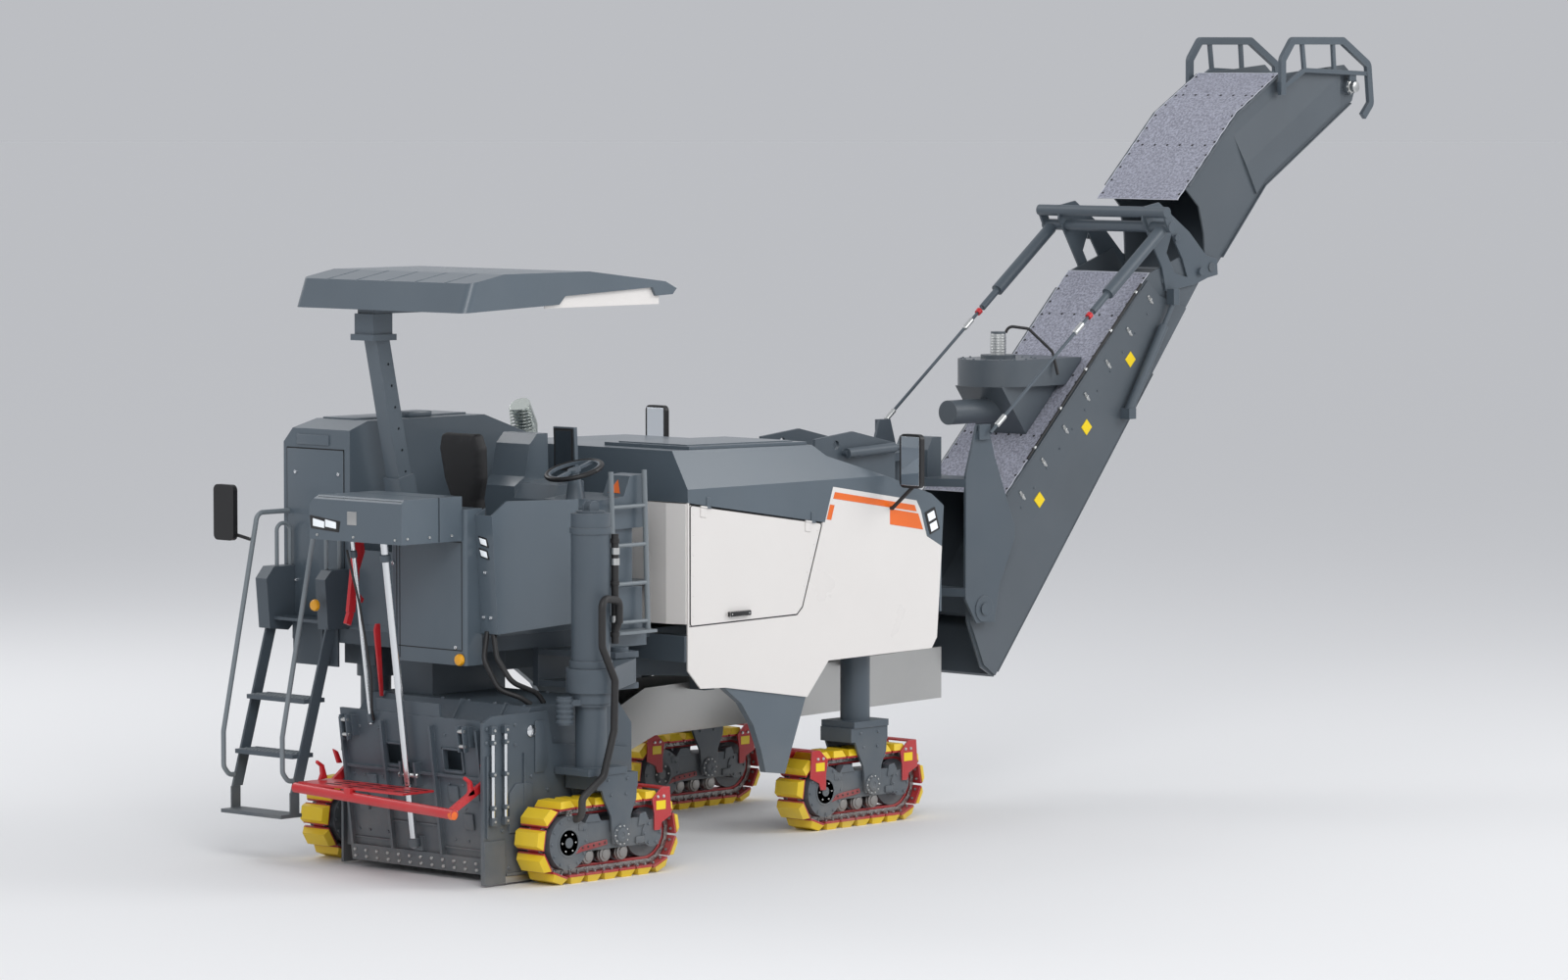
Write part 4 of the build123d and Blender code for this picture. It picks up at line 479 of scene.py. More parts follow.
class Shape:
    """A mesh under construction, in metres, in the machine's frame."""

    def __init__(self) -> None:
        """Start empty."""
        self.mesh = bmesh.new()

    def _take(self, part: bmesh.types.BMesh, bevel: float, segments: int) -> "Shape":
        """Round a part's sharp edges and add it to the shape.

        Args:
            part: The part's own mesh, which is freed.
            bevel: The width of the rounding, or 0.
            segments: The steps of the rounding.

        Returns:
            This shape.
        """
        bmesh.ops.recalc_face_normals(part, faces=part.faces)
        if bevel > 0.0:
            sharp = [edge for edge in part.edges if edge.calc_face_angle(0.0) > SHARP_ANGLE]
            bmesh.ops.bevel(part, geom=sharp, offset=bevel, offset_type="OFFSET", segments=segments,
                            profile=0.5, affect="EDGES", clamp_overlap=True)
        scratch = bpy.data.meshes.new("scratch")
        part.to_mesh(scratch)
        part.free()
        self.mesh.from_mesh(scratch)
        bpy.data.meshes.remove(scratch)
        return self

    def done(self, name: str) -> bpy.types.Mesh:
        """Return the finished shape as a mesh, and free its working copy.

        Args:
            name: The mesh's name.

        Returns:
            The mesh.
        """
        mesh = bpy.data.meshes.new(name)
        self.mesh.to_mesh(mesh)
        self.mesh.free()
        return mesh

    def block(self, x: Span, y: Span, z: Span, bevel: float = 0.003, segments: int = 2) -> "Shape":
        """Add a box that fills three spans, with rounded edges.

        Args:
            x, y, z: The box's spans.
            bevel, segments: The width of the rounding, or 0, and its steps.

        Returns:
            This shape.
        """
        part = bmesh.new()
        bmesh.ops.create_cube(part, size=1.0)
        spans = (x, y, z)
        for vertex in part.verts:
            for place, (low, high) in enumerate(spans):
                vertex.co[place] = low + (vertex.co[place] + 0.5) * (high - low)
        return self._take(part, bevel, segments)

    def prism(self, outline: Sequence[Pair], axis: str, span: Span,
              bevel: float = 0.002, segments: int = 2) -> "Shape":
        """Extrude a closed outline along an axis.

        Args:
            outline: The corners on the two other axes, in the order x, y, z.
            axis: The axis to extrude along.
            span: The two ends of the extrusion.
            bevel: The width of the rounding, or 0.
            segments: The steps of the rounding.

        Returns:
            This shape.
        """
        part = bmesh.new()
        rings = []
        for end in span:
            ring = []
            for first, second in outline:
                corner = {"x": (end, first, second), "y": (first, end, second),
                          "z": (first, second, end)}[axis]
                ring.append(part.verts.new(corner))
            rings.append(ring)
        part.faces.new(rings[0])
        part.faces.new(rings[1])
        count = len(outline)
        for index in range(count):
            after = (index + 1) % count
            part.faces.new((rings[0][index], rings[0][after], rings[1][after], rings[1][index]))
        return self._take(part, bevel, segments)

    def turned(self, base: Point, axis: Point, profile: Sequence[Pair],
               sides: int = 32) -> "Shape":
        """Turn a profile about an axis, as on a lathe, and close both ends.

        Args:
            base: The point where the profile starts.
            axis: The direction of the axis.
            profile: Pairs of distance along the axis and radius, in order.
            sides: The number of sides.

        Returns:
            This shape.
        """
        part = bmesh.new()
        turn = Vector(axis).to_track_quat("Z", "Y")
        rings = []
        for along, radius in profile:
            ring = []
            for index in range(sides):
                angle = math.tau * index / sides
                local = Vector((radius * math.cos(angle), radius * math.sin(angle), along))
                ring.append(part.verts.new(Vector(base) + turn @ local))
            rings.append(ring)
        part.faces.new(rings[0])
        part.faces.new(rings[-1])
        for low, high in zip(rings, rings[1:]):
            for index in range(sides):
                after = (index + 1) % sides
                part.faces.new((low[index], low[after], high[after], high[index]))
        return self._take(part, 0.0, 1)

    def cut_ring(self, base: Point, axis: Point, inner: float, outer: float, height: float,
                 sides: int = 32) -> "Shape":
        """Add a flat ring with a hole, such as a washer, a bezel or a clamp.

        Args:
            base, axis: The centre of the ring's foot, and its direction.
            inner, outer, height: Its two radii and its height.
            sides: The number of sides.

        Returns:
            This shape.
        """
        part = bmesh.new()
        turn = Vector(axis).to_track_quat("Z", "Y")
        section = ((inner, 0.0), (outer, 0.0), (outer, height), (inner, height))
        rings = []
        for index in range(sides):
            angle = math.tau * index / sides
            rings.append([
                part.verts.new(Vector(base) + turn @ Vector((radius * math.cos(angle),
                                                             radius * math.sin(angle), along)))
                for radius, along in section])
        for index in range(sides):
            here, after = rings[index], rings[(index + 1) % sides]
            for corner in range(4):
                beside = (corner + 1) % 4
                part.faces.new((here[corner], after[corner], after[beside], here[beside]))
        return self._take(part, 0.0, 1)

    def turn(self, degrees: float, axis: str, centre: Point) -> "Shape":
        """Turn everything made so far about an axis through a point.

        Args:
            degrees: The angle.
            axis, centre: The axis's name, and a point on it.

        Returns:
            This shape.
        """
        matrix = Matrix.Rotation(math.radians(degrees), 4, axis.upper())
        bmesh.ops.transform(self.mesh, matrix=Matrix.Translation(centre) @ matrix
                            @ Matrix.Translation(-Vector(centre)), verts=self.mesh.verts)
        return self


# ------------------------------------------------------------------ repeated units
class Unit(Enum):
    """Small parts that stand in many places."""

    BOLT = "hex_bolt"
    CAP_SCREW = "cap_screw"
    STUD = "snap_stud"
    RIVET = "rivet"
    NUT = "lock_nut"
    TOOTH = "tread_tooth"
    LINK = "chain_link"
    TOOL = "cutting_tool"
    LATCH = "hook_latch"


@dataclass(frozen=True)
class Lathe:
    """One turned part of a unit: its foot on Z, its sides, and its distances and radii."""

    foot: float
    sides: int
    profile: Outline


TURNED_UNITS: dict[Unit, tuple[Lathe, ...]] = {
    Unit.BOLT: (
        Lathe(-0.001, 12, ((0, 0.0125), (0.003, 0.0125), (0.0035, 0.012))),
        Lathe(0.002, 6, ((0, 0.0115), (0.006, 0.0115), (0.008, 0.0092)))),
    Unit.CAP_SCREW: (
        Lathe(-0.001, 12, ((0, 0.009), (0.007, 0.009), (0.009, 0.0078), (0.009, 0.0045),
                           (0.0055, 0.0040))),),
    Unit.STUD: (
        Lathe(-0.001, 12, ((0, 0.0105), (0.003, 0.0105), (0.0055, 0.007), (0.0062, 0.002))),),
    Unit.RIVET: (Lathe(-0.0005, 8, ((0, 0.006), (0.002, 0.0052), (0.0032, 0.002))),),
    Unit.NUT: (
        Lathe(-0.001, 6, ((0, 0.011), (0.010, 0.011), (0.0115, 0.0095))),
        Lathe(0.010, 8, ((0, 0.006), (0.006, 0.006), (0.007, 0.005)))),
    Unit.TOOL: (
        Lathe(-0.002, 14, ((0, 0.020), (0.006, 0.021), (0.010, 0.017), (0.022, 0.012),
                           (0.026, 0.008), (0.034, 0.003))),),
}
TOOTH_OUTLINE = ((-0.007, 0.0), (0.007, 0.0), (0.005, 0.006), (-0.005, 0.006))
TOOTH_HALF_WIDTH = 0.013


def unit_shape(unit: Unit) -> Shape:
    """Return the shape of a repeated unit, standing on Z = 0.

    Args:
        unit: The unit.

    Returns:
        Its shape.
    """
    if unit is Unit.LINK:
        return chain_link()
    if unit is Unit.LATCH:
        return hook_latch()
    shape = Shape()
    if unit is Unit.TOOTH:
        return shape.prism(TOOTH_OUTLINE, "y", (-TOOTH_HALF_WIDTH, TOOTH_HALF_WIDTH), 0.0)
    for part in TURNED_UNITS[unit]:
        shape.turned((0, 0, part.foot), UP, part.profile, part.sides)
    return shape


def chain_link(half_pitch: float = 0.029, end_radius: float = 0.0165,
               half_width: float = 0.006) -> Shape:
    """Return one chain side link: long along X, flat to Y, with two pin ends.

    Args:
        half_pitch: Half the distance between its pins.
        end_radius: The radius of its round ends.
        half_width: Half its thickness.

    Returns:
        The shape.
    """
    shape = Shape()
    outline = []
    for centre, start in ((half_pitch, -90), (-half_pitch, 90)):
        for step in range(7):
            angle = math.radians(start + 30 * step)
            outline.append((centre + end_radius * math.cos(angle), end_radius * math.sin(angle)))
    shape.prism(outline, "y", (-half_width, half_width), 0.0015, 1)
    for end in SIDES:
        for side in SIDES:
            shape.turned((end * half_pitch, side * half_width, 0), (0, side, 0),
                         ((0, 0.010), (0.004, 0.010), (0.006, 0.008)), 10)
    return shape


def hook_latch() -> Shape:
    """Return a hook latch: a base plate, a bowed lever and its keeper, standing on Z = 0."""
    shape = Shape()
    shape.block((-0.016, 0.016), (-0.045, 0.020), (-0.001, 0.004), 0.0015, 1)
    shape.block((-0.010, 0.010), (-0.060, -0.010), (0.004, 0.009), 0.0015, 1)
    shape.turned((-0.016, -0.010, 0.008), FRONT, ((0, 0.005), (0.032, 0.005)), 10)
    shape.block((-0.012, 0.012), (0.030, 0.046), (-0.001, 0.010), 0.002, 1)
    for side in SIDES:
        shape.turned((side * 0.009, -0.010, 0.008), LEFT, ((0, 0.0025), (0.046, 0.0025)), 8)
    return shape


# ------------------------------------------------------------------ geometry trees
class GeometryTrees:
    """Builds each geometry node tree once: scattered units, and tubes along routes."""

    @staticmethod
    def _start(name: str, inputs: dict[str, tuple[str, object]]) -> tuple[Wiring, Sockets]:
        """Start a tree with a geometry input, named inputs and a geometry output.

        Args:
            name: The tree's name.
            inputs: Socket types and defaults by input name; a default may be None.

        Returns:
            The wiring and the tree's given sockets.
        """
        tree = bpy.data.node_groups.new(name, "GeometryNodeTree")
        tree.interface.new_socket("Geometry", in_out="INPUT", socket_type="NodeSocketGeometry")
        for label, (kind, default) in inputs.items():
            socket = tree.interface.new_socket(label, in_out="INPUT", socket_type=kind)
            if default is not None:
                socket.default_value = default
        tree.interface.new_socket("Geometry", in_out="OUTPUT", socket_type="NodeSocketGeometry")
        wiring = Wiring(tree)
        return wiring, wiring.add("NodeGroupInput").outputs

    @staticmethod
    def _close(wiring: Wiring, given: Sockets, made: Socket) -> Tree:
        """Realize the made geometry, give it its finish, put it out and return the tree.

        Args:
            wiring, given: The tree's wiring and its given sockets.
            made: The made geometry.

        Returns:
            The tree.
        """
        real = wiring.add("GeometryNodeRealizeInstances", geometry=made)
        dressed = wiring.add("GeometryNodeSetMaterial", geometry=real.outputs["Geometry"],
                             material=given["Finish"])
        wiring.add("NodeGroupOutput", geometry=dressed.outputs["Geometry"])
        return wiring.tree

    @cached_property
    def scatter(self) -> Tree:
        """Return the tree that stands one unit on every point, turned by the point's Euler angles."""
        wiring, given = self._start("scattered_units", {
            "Unit": ("NodeSocketObject", None), "Size": ("NodeSocketFloat", 1.0),
            "Finish": ("NodeSocketMaterial", None)})
        unit = wiring.add("GeometryNodeObjectInfo", object=given["Unit"])
        turn = wiring.add("GeometryNodeInputNamedAttribute", data_type="FLOAT_VECTOR")
        turn.inputs["Name"].default_value = TURN_ATTRIBUTE
        euler = wiring.add("FunctionNodeEulerToRotation", euler=turn.outputs["Attribute"])
        stand = wiring.add("GeometryNodeInstanceOnPoints", points=given["Geometry"],
                           instance=unit.outputs["Geometry"], rotation=euler.outputs[0],
                           scale=given["Size"])
        return self._close(wiring, given, stand.outputs["Instances"])

    @cached_property
    def tube(self) -> Tree:
        """Return the tree that bends a round tube along every route, with rounded corners."""
        wiring, given = self._start("routed_tube", {
            "Radius": ("NodeSocketFloat", 0.01), "Bend": ("NodeSocketFloat", 0.05),
            "Sides": ("NodeSocketInt", 14), "Finish": ("NodeSocketMaterial", None)})
        curve = wiring.add("GeometryNodeMeshToCurve", mesh=given["Geometry"])
        bend = wiring.add("GeometryNodeFilletCurve", mode="POLY", count=6, limit_radius=True,
                          curve=curve.outputs["Curve"], radius=given["Bend"])
        ring = wiring.add("GeometryNodeCurvePrimitiveCircle", resolution=given["Sides"],
                          radius=given["Radius"])
        sweep = wiring.add("GeometryNodeCurveToMesh", fill_caps=True, curve=bend.outputs["Curve"],
                           profile_curve=ring.outputs["Curve"])
        return self._close(wiring, given, sweep.outputs["Mesh"])


class Fitter:
    """Turns shapes into finished pieces and fixes them to the frame's bodies."""

    def __init__(self, palette: Palette) -> None:
        """Keep the palette and start the geometry trees."""
        self.palette = palette
        self._trees = GeometryTrees()

    def _fix(self, piece: Piece, body: str) -> Piece:
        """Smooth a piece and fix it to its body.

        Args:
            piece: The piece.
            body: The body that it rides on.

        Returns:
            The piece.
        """
        piece.data.shade_smooth()
        piece.data.set_sharp_from_angle(angle=SHARP_ANGLE)
        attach(piece, body)
        LOG.info("%s rides on %s: %d faces", piece.name, body, len(piece.data.polygons))
        return piece

    def fit(self, name: str, shape: Shape, finish: Finish, body: str = "chassis") -> Piece:
        """Finish a shape as one piece.

        Args:
            name, shape: The piece's name and shape.
            finish, body: Its finish, and the body that it rides on.

        Returns:
            The piece.
        """
        mesh = shape.done(name)
        mesh.materials.append(self.palette.get(finish))
        return self._fix(shown(name, mesh), body)

    def _grow(self, name: str, points: bpy.types.Mesh, tree: Tree,
              values: dict[str, object]) -> Piece:
        """Run a geometry tree on a mesh and keep the result as a plain mesh.

        Args:
            name: The piece's name.
            points: The mesh that the tree starts from.
            tree: The tree.
            values: The tree's input values by name.

        Returns:
            The piece, with no modifier left.
        """
        piece = shown(name, points)
        modifier = piece.modifiers.new(tree.name, "NODES")
        modifier.node_group = tree
        for socket in tree.interface.items_tree:
            if socket.name in values:
                modifier[socket.identifier] = values[socket.name]
        graph = bpy.context.evaluated_depsgraph_get()
        made = bpy.data.meshes.new_from_object(piece.evaluated_get(graph), depsgraph=graph)
        piece.modifiers.clear()
        piece.data = made
        bpy.data.meshes.remove(points)
        return piece

    def scatter(self, name: str, unit: Unit, places: Sequence[Place], finish: Finish,
                body: str = "chassis", size: float = 1.0) -> Piece:
        """Stand one unit in many places as one piece.

        Args:
            name: The piece's name.
            unit: The repeated unit.
            places: Where it stands.
            finish: Its finish.
            body: The body that the piece rides on.
            size: The unit's scale.

        Returns:
            The piece.
        """
        points = bpy.data.meshes.new(name)
        points.from_pydata([place.point for place in places], [], [])
        turns = points.attributes.new(TURN_ATTRIBUTE, "FLOAT_VECTOR", "POINT")
        for entry, place in zip(turns.data, places):
            entry.vector = place.turn()
        pattern = shown("unit", unit_shape(unit).done("unit"))
        piece = self._grow(name, points, self._trees.scatter,
                           {"Unit": pattern, "Size": size, "Finish": self.palette.get(finish)})
        bpy.data.objects.remove(pattern)
        return self._fix(piece, body)

    @staticmethod
    def _routes(name: str, routes: Sequence[Sequence[Point]]) -> bpy.types.Mesh:
        """Return a wire mesh with one run of edges for each route.

        Args:
            name: The mesh's name.
            routes: The corners of each route.

        Returns:
            The mesh.
        """
        corners: list[Point] = []
        edges: list[tuple[int, int]] = []
        for route in routes:
            first = len(corners)
            corners.extend(route)
            edges.extend((index, index + 1) for index in range(first, len(corners) - 1))
        mesh = bpy.data.meshes.new(name)
        mesh.from_pydata(corners, edges, [])
        return mesh

    def tube(self, name: str, routes: Sequence[Sequence[Point]], radius: float, finish: Finish,
             body: str = "chassis", bend: float = 0.05, sides: int = 14) -> Piece:
        """Bend round tubes along routes as one piece.

        Args:
            name, routes: The piece's name, and the corners of each route.
            radius, bend, sides: The tube's radius, its corners' radius and its sides.
            finish, body: Its finish, and the body that it rides on.

        Returns:
            The piece.
        """
        piece = self._grow(name, self._routes(name, routes), self._trees.tube,
                           {"Radius": radius, "Bend": bend, "Sides": sides,
                            "Finish": self.palette.get(finish)})
        return self._fix(piece, body)


# ------------------------------------------------------------------ crawler tracks
ROLLER = ((0, 0.050), (0.024, 0.050), (0.026, 0.0565), (0.044, 0.0565), (0.048, 0.052),
          (0.060, 0.050), (0.064, 0.036), (0.070, 0.034), (0.074, 0.018))
DRIVE_COVER = ((0, 0.100), (0.004, 0.100), (0.006, 0.096), (0.006, 0.088), (0.002, 0.084),
               (0.002, 0.040))
HUB_COVER = ((0, 0.046), (0.005, 0.046), (0.007, 0.042), (0.007, 0.020), (0.004, 0.018))
FORK_BOLTS = ((-0.05, 0.66), (0.13, 0.66), (-0.02, 0.56), (0.12, 0.56))
SKID_BAR = ((-0.335, 0.196), (-0.285, 0.240), (-0.24, 0.252), (-0.04, 0.268), (-0.035, 0.236),
            (-0.10, 0.226), (-0.27, 0.208))


@dataclass
class Crawler:
    """One crawler track: its chain links, rollers, bolts, skid bar and sheet guards' plates."""

    fitter: Fitter
    name: str
    body: str
    guard_ends: tuple[int, ...]
    half_run: float = 0.390
    loop_height: float = 0.275
    link_radius: float = 0.1975
    link_y: float = 0.0525
    links: int = 38
    shoes: int = 19
    shoe_radius: float = 0.230
    cover_y: float = 0.123
    hub: Pair = (0.070, 0.290)
    roller_xs: tuple[float, ...] = (-0.190, -0.030, 0.130)
    roller_z: float = 0.168
    plate_y: float = 0.138
    hub_face: float = 0.158
    fork_y: float = 0.148
    bar_y: Span = (0.114, 0.1285)
    bar_bolts: Span = (-0.268, -0.062)
    guard_plate: Span = (0.415, 0.505)
    centre: Vector = field(init=False)

    def __post_init__(self) -> None:
        """Read the track's centre from its pads."""
        low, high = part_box(f"{self.name}_track_pads")
        self.centre = (low + high) / 2
        self.centre.z = 0.0

    def at(self, x: float, y: float, z: float) -> Point:
        """Return a point given from the track's centre on the ground."""
        return (self.centre.x + x, self.centre.y + y, z)

    def loop_point(self, share: float, radius: float) -> tuple[float, float, float]:
        """Return the place on the slot-shaped loop.

        Args:
            share: How far round the loop, from 0 to 1.
            radius: The loop's end radius.

        Returns:
            X from the centre, the height, and the heading of the outward direction from straight down.
        """
        straight = 2 * self.half_run
        turn = math.pi * radius
        travel = (share % 1.0) * (2 * straight + 2 * turn)
        if travel < straight:
            middle, heading = travel - self.half_run, 0.0
        elif travel < straight + turn:
            middle, heading = self.half_run, (travel - straight) / radius
        elif travel < 2 * straight + turn:
            middle, heading = self.half_run - (travel - straight - turn), math.pi
        else:
            middle, heading = -self.half_run, math.pi + (travel - 2 * straight - turn) / radius
        return (middle + radius * math.sin(heading), self.loop_height - radius * math.cos(heading), heading)

    def build(self) -> None:
        """Dress the whole track."""
        self._chain()
        self._rollers()
        self._frame_bolts()
        self._skid_bars()
        self._guard_plates()

    def _chain(self) -> None:
        """Lay the steel side links and the shoes' nuts round the loop."""
        shape = Shape()
        link = unit_shape(Unit.LINK).done("link")
        for side in SIDES:
            for index in range(self.links):
                x, z, heading = self.loop_point((index + 0.5) / self.links, self.link_radius)
                aside = side * (self.link_y + 0.0035 * (index % 2))
                first = len(shape.mesh.verts)
                shape.mesh.from_mesh(link)
                shape.mesh.verts.ensure_lookup_table()
                move = Matrix.Translation(self.at(x, aside, z)) @ Matrix.Rotation(-heading, 4, "Y")
                bmesh.ops.transform(shape.mesh, matrix=move, verts=shape.mesh.verts[first:])
        bpy.data.meshes.remove(link)
        self.fitter.fit(f"{self.name}_chain_links", shape, LINK_STEEL, self.body)
        nuts = []
        for index in range(self.shoes):
            x, z, heading = self.loop_point((index + 0.5) / self.shoes, self.shoe_radius)
            run = Vector((math.cos(heading), 0, math.sin(heading)))
            inward = Vector((-math.sin(heading), 0, math.cos(heading)))
            for y in (-0.086, 0.086):
                for along in (-0.036, 0.036):
                    seat = Vector(self.at(x, y, z)) + run * along + inward * 0.0140
                    nuts.append(Place(tuple(seat), tuple(inward)))
        self.fitter.scatter(f"{self.name}_shoe_nuts", Unit.NUT, nuts, LINK_STEEL, self.body)

    def _rollers(self) -> None:
        """Turn the flanged rollers that run on the lower chain."""
        shape = Shape()
        for x in self.roller_xs:
            for side in SIDES:
                shape.turned(self.at(x, side * 0.040, self.roller_z), (0, side, 0), ROLLER, 28)
        self.fitter.fit(f"{self.name}_rollers", shape, LINK_STEEL, self.body)

    def _frame_bolts(self) -> None:
        """Bolt the drive covers, hubs, idler caps and fork plates."""
        covers, small, caps = [], [], Shape()
        hub_x, hub_z = self.hub
        for side in SIDES:
            way = (0, side, 0)
            drive = self.at(-self.half_run, side * self.cover_y, self.loop_height)
            idler = self.at(self.half_run, side * self.cover_y, self.loop_height)
            covers += ring_places(drive, "y", side, 0.158, 12)
            covers += ring_places(idler, "y", side, 0.072, 6)
            small += ring_places(self.at(hub_x, side * self.hub_face, hub_z), "y", side, 0.0610, 10)
            small += ring_places(drive, "y", side, 0.062, 6)
            covers += [Place(self.at(x, side * self.fork_y, z), way) for x, z in FORK_BOLTS]
            seat = self.at(-self.half_run, side * (self.cover_y - 0.002), self.loop_height)
            caps.turned(seat, way, DRIVE_COVER, 40)
            caps.turned(self.at(hub_x, side * (self.hub_face + 0.002), hub_z), way, HUB_COVER, 32)
            caps.block(*self._box((-0.30, -0.22), side, (0.100, 0.128), (0.345, 0.395)), 0.006)
            caps.block(*self._box((0.235, 0.31), side, (0.100, 0.129), (0.215, 0.262)), 0.006)
        self.fitter.scatter(f"{self.name}_cover_bolts", Unit.BOLT, covers, PAINTED_BOLT, self.body, 0.85)
        self.fitter.scatter(f"{self.name}_hub_bolts", Unit.BOLT, small, BOLT_STEEL, self.body, 0.55)
        self.fitter.fit(f"{self.name}_hub_covers", caps, CHASSIS, self.body)
        ports = Shape()
        for side in SIDES:
            for x in (-0.375, -0.345):
                ports.turned(self.at(x, side * 0.085, 0.440), (0, 0.3 * side, 1),
                             ((0, 0.013), (0.016, 0.013), (0.017, 0.010), (0.034, 0.010)), 12)
        self.fitter.fit(f"{self.name}_hose_ports", ports, BOLT_STEEL, self.body)

    def _box(self, x: Span, side: int, y: Span, z: Span) -> tuple[Span, Span, Span]:
        """Return a box's three spans on one side of the track."""
        return ((self.centre.x + x[0], self.centre.x + x[1]), self._across(side, y), z)

    def _across(self, side: int, y: Span) -> Span:
        """Return the world's Y span of a span given outward from the track's centre."""
        return span(self.centre.y + side * y[0], self.centre.y + side * y[1])

    def _skid_bars(self) -> None:
        """Fix the dark red skid bars over the rollers, with their bolts."""
        shape, bolts = Shape(), []
        first, last = self.bar_bolts
        for side in SIDES:
            shape.prism([(self.centre.x + x, z) for x, z in SKID_BAR], "y",
                        self._across(side, self.bar_y), 0.002)
            for x in spread(first, last, 5):
                height = 0.245 + 0.08 * (x - first) - 0.012
                bolts.append(Place(self.at(x, side * self.bar_y[1], height), (0, side, 0)))
        self.fitter.fit(f"{self.name}_skid_bars", shape, DARK_RED, self.body)
        self.fitter.scatter(f"{self.name}_skid_bolts", Unit.BOLT, bolts, BOLT_DARK, self.body, 0.6)

    def _guard_plates(self) -> None:
        """Put the blank yellow plates and the bolts on the red end guards."""
        plates, bolts = Shape(), []
        for side in SIDES:
            y = self._across(side, (self.plate_y - 0.001, self.plate_y + 0.0015))
            for end in self.guard_ends:
                x = span(*(self.centre.x + end * reach for reach in self.guard_plate))
                plates.block(x, y, (0.425, 0.485), 0.001, 1)
                bolts += [Place(self.at(end * reach, side * self.plate_y, 0.512), (0, side, 0))
                          for reach in (0.43, 0.485)]
        self.fitter.fit(f"{self.name}_guard_plates", plates, SIGN_YELLOW, self.body)
        self.fitter.scatter(f"{self.name}_guard_bolts", Unit.BOLT, bolts, BOLT_STEEL, self.body, 0.9)


# ------------------------------------------------------------------ milling drum
@dataclass
class MillingTools:
    """The cutting tools in the drum's holders, on two spirals that meet in the middle."""

    fitter: Fitter
    rows: int = 22
    spiral: float = 74.0
    seat_radius: float = 0.417
    right_y: float = -1.310
    end_margin: float = 0.050
    length: float = 1.32

    def build(self) -> None:
        """Stand a tool in every holder."""
        low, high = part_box("milling_drum")
        axis = (low + high) / 2
        first_y = self.right_y + self.end_margin
        step = (self.length - 2 * self.end_margin) / (self.rows - 1)
        tools = []
        for start in range(2):
            for row in range(self.rows):
                middle = abs(row - (self.rows - 1) / 2)
                angle = math.radians(start * 180 + middle * self.spiral)
                outward = Vector((math.cos(angle), 0, math.sin(angle)))
                seat = Vector((axis.x, first_y + row * step, axis.z)) + outward * self.seat_radius
                lean = outward + Vector((-math.sin(angle), 0, math.cos(angle))) * 0.5
                tools.append(Place(tuple(seat), tuple(lean)))
        self.fitter.scatter("milling_tools", Unit.TOOL, tools, TOOL_STEEL, "drum")


# ------------------------------------------------------------------ rear of the machine
LAMP_BEZEL = ((0.875, 2.30), (0.885, 2.39), (0.585, 2.36), (0.60, 2.285))
STEP_LAMP_BEZEL = ((-1.008, -0.010), (-0.992, 0.052), (-0.912, 0.068), (-0.932, 0.006))
STEP_LAMP_LENS = ((-0.998, 0.002), (-0.986, 0.044), (-0.922, 0.056), (-0.938, 0.014))
BAR_HOOK = ((-0.90, 0.61), (-0.93, 0.70), (-0.985, 0.735), (-0.99, 0.715), (-0.955, 0.69),
            (-0.95, 0.64), (-0.97, 0.60))
BAR_CLAW = ((-0.76, 0.70), (-0.80, 0.78), (-0.84, 0.80), (-0.80, 0.70))
LEVER = ((-0.705, 2.15), (-0.66, 2.23), (-0.64, 2.12), (-0.69, 2.00), (-0.70, 1.85),
         (-0.65, 1.80), (-0.665, 1.775), (-0.76, 1.80), (-0.742, 2.0))
LOCK_STRAP = ((-0.640, 1.64), (-0.655, 1.60), (-0.60, 1.15), (-0.575, 1.15), (-0.605, 1.64))
GEAR_PINS = ((-0.70, 0.115, 0.655), (-0.86, 0.115, 0.575), (-0.70, -1.33, 0.745),
             (-1.08, -1.33, 0.51), (-0.765, 0.015, 1.76), (-0.705, 0.015, 2.19))
PLATE_BOLTS = ((-0.60, 0.92), (-0.60, 1.05), (-0.40, 1.05), (-0.45, 0.45), (-0.45, 0.70),
               (-0.30, 0.60), (-0.86, 0.95), (-0.86, 1.04), (-0.72, 0.36))
LOW_BRACKET = ((-0.66, 0.34), (-0.66, 0.60), (-0.60, 0.66), (-0.44, 0.66), (-0.44, 0.40),
               (-0.50, 0.34))
HIGH_BRACKET = ((-0.42, 0.72), (-0.42, 1.06), (-0.34, 1.06), (-0.30, 0.80), (-0.34, 0.72))
HOUSING_HOSES = (
    ((-0.42, -0.95, 1.62), (-0.50, -1.00, 1.45), (-0.46, -1.10, 1.25), (-0.36, -1.20, 1.20),
     (-0.30, -1.24, 1.151)),
    ((-0.40, -0.99, 1.62), (-0.44, -1.06, 1.46), (-0.40, -1.16, 1.30), (-0.22, -1.22, 1.22),
     (-0.18, -1.24, 1.151)))


LINK_PIN = ((0, 0.012), (0.010, 0.022), (0.016, 0.022), (0.016, 0.016), (0.165, 0.016),
            (0.165, 0.022), (0.171, 0.022), (0.180, 0.012))
LUG_PIN = ((0, 0.010), (0.004, 0.015), (0.066, 0.015), (0.070, 0.010))
BOARD_RIBS = ((-1.26, -0.84, 0.16), (-0.82, -0.37, 0.30), (-0.35, 0.02, 0.16))
BOARD_PADS = ((-1.18, 0.50), (-1.10, 0.30), (-0.98, 0.48), (-0.20, 0.50), (-0.10, 0.36))
BOARD_RODS = ((-0.60, 0.026, 0.145, 0.060), (-0.25, 0.014, 0.955, 0.030))


